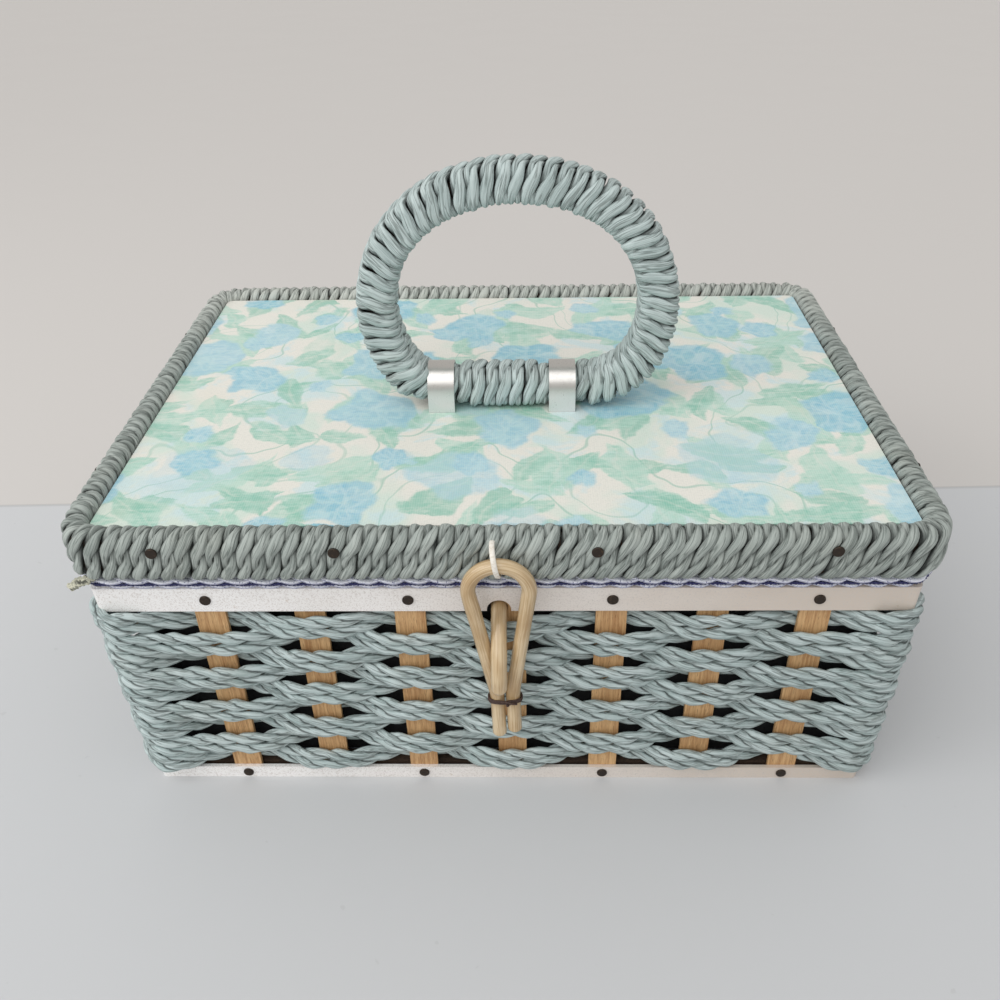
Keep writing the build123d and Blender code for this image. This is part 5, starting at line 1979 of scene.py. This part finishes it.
# ---- studio
@dataclass
class Studio:
    """Plain pale table and wall colours, soft light and the camera."""

    eye: tuple = (7.4, -341.9, 290.3)
    turn: float = 1.75
    drop: float = 33.78
    roll: float = -1.24
    lens: float = 36.0
    table: tuple = srgb(202, 203, 204)
    wall: tuple = srgb(206, 202, 198)
    cloud: tuple = srgb(198, 200, 203)
    speck: tuple = srgb(176, 176, 176)
    edge: tuple = srgb(150, 148, 146)
    sky_strength: float = 0.62
    lamps: tuple = (
        ("main", "SUN", 1.22, (-0.4, -0.74, 1.0), 60.0), ("side", "AREA", 2.3, (-0.85, -0.3, 0.65), 0.6))
    table_far_left: tuple = (-300.0, 88.0)
    table_far_right: tuple = (300.0, 104.0)

    def place_camera(self) -> None:
        """Puts the camera where it looks down on the front and the lid."""
        turn, drop, roll = (math.radians(angle) for angle in (self.turn, self.drop, self.roll))
        ahead = Vector((-math.sin(turn) * math.cos(drop), math.cos(turn) * math.cos(drop), -math.sin(drop)))
        right = Vector((math.cos(turn), math.sin(turn), 0.0))
        up = right.cross(ahead)
        right_rolled = math.cos(roll) * right + math.sin(roll) * up
        up_rolled = math.cos(roll) * up - math.sin(roll) * right
        camera = bpy.data.cameras.new("camera")
        camera.lens = self.lens
        camera.sensor_width = 36.0
        camera.clip_start = 0.01
        camera.clip_end = 60.0
        holder = bpy.data.objects.new("camera", camera)
        bpy.context.scene.collection.objects.link(holder)
        holder.matrix_world = Matrix.Translation(Vector(self.eye) * MM) @ Matrix(
            (right_rolled, up_rolled, -ahead)).transposed().to_4x4()
        bpy.context.scene.camera = holder

    def lay_table(self) -> None:
        """Lays the pale table, which takes the wall's colour beyond its far edge."""
        mesh = bpy.data.meshes.new("table")
        work = bmesh.new()
        bmesh.ops.create_grid(work, x_segments=1, y_segments=1, size=7.0)
        work.to_mesh(mesh)
        work.free()
        table = new_piece("table", mesh)
        shade = Shade("Pale table")
        place = shade.place()
        (x0, y0), (x1, y1) = self.table_far_left, self.table_far_right
        slope = (y1 - y0) / (x1 - x0)
        beyond = place.part("Y") - place.part("X") * slope - (y0 - x0 * slope)
        clouds = shade.noise(place, 0.012, 3.0)
        specks = shade.step(shade.noise(place, 0.16, 2.0), 0.72, 0.76)
        top = shade.mix(clouds * 0.25, self.table, self.cloud)
        top = shade.mix(specks * 0.25, top, self.speck)
        colour = shade.mix(shade.step(beyond, -0.6, 0.6), top, self.wall)
        line = shade.step(beyond, -2.2, -0.8) * shade.fall(beyond, 0.2, 1.2)
        colour = shade.mix(line * 0.3, colour, self.edge)
        rough = shade.follow(clouds, 0.55, 0.62)
        mesh.materials.append(shade.finish(Base_Color=colour, Roughness=rough, Specular_IOR_Level=0.3))

    def light(self) -> None:
        """Hangs a broad soft sun and a pale sky that the camera sees as the wall's colour."""
        scene = bpy.context.scene
        for name, kind, strength, place, spread in self.lamps:
            light = bpy.data.lights.new(name, kind)
            light.energy = strength
            lamp = bpy.data.objects.new(name, light)
            lamp.location = Vector(place)
            lamp.rotation_mode = "QUATERNION"
            lamp.rotation_quaternion = (-Vector(place)).to_track_quat("-Z", "Y")
            scene.collection.objects.link(lamp)
            if kind == "SUN":
                light.angle = math.radians(spread)
            else:
                light.size = spread
        world = bpy.data.worlds.new("studio")
        world.use_nodes = True
        scene.world = world
        sky = Nodes(world.node_tree)
        sky.tree.nodes.clear()
        path = sky.add("ShaderNodeLightPath", {}, {})
        seen = sky.maths("MAXIMUM", path["Is Camera Ray"], path["Is Glossy Ray"])
        seen = sky.maths("MAXIMUM", seen, path["Is Transmission Ray"])
        lighting = sky.add(
            "ShaderNodeBackground", {}, {"Color": (1.0, 1.0, 1.0, 1.0), "Strength": self.sky_strength}
        )["Background"]
        backdrop = sky.add("ShaderNodeBackground", {}, {"Color": self.wall, "Strength": 1.0})["Background"]
        mixed = sky.add("ShaderNodeMixShader", {}, {0: seen, 1: lighting, 2: backdrop})["Shader"]
        sky.add("ShaderNodeOutputWorld", {}, {"Surface": mixed})

    def build(self) -> None:
        """Sets up the camera, the light and the table."""
        self.place_camera()
        self.light()
        self.lay_table()
        bpy.context.scene.view_settings.view_transform = "Standard"


def main() -> None:
    """Builds the basket's pieces in order, then the studio round them."""
    logging.basicConfig(level=logging.INFO, format="%(name)s %(message)s")
    finishes = Finishes()
    Studio().build()
    WovenWalls().build(finishes)
    GimpBraid("body_gimp", "body_braid", Body.BASKET, half_x=132.8, half_y=96.7, z=93.2, cord_z=94.4,
              cord_inset=2.6, seed=1.0).build(finishes)
    GimpBraid("lid_gimp", "lid_braid", Body.LID, half_x=134.9, half_y=98.5, z=96.3, cord_z=95.0,
              cord_inset=1.5, seed=2.0).build(finishes)
    LidRim().build(finishes)
    RingHandle().build(finishes)
    Closure().build(finishes)
    Lining().build(finishes)


if __name__ == "__main__":
    main()
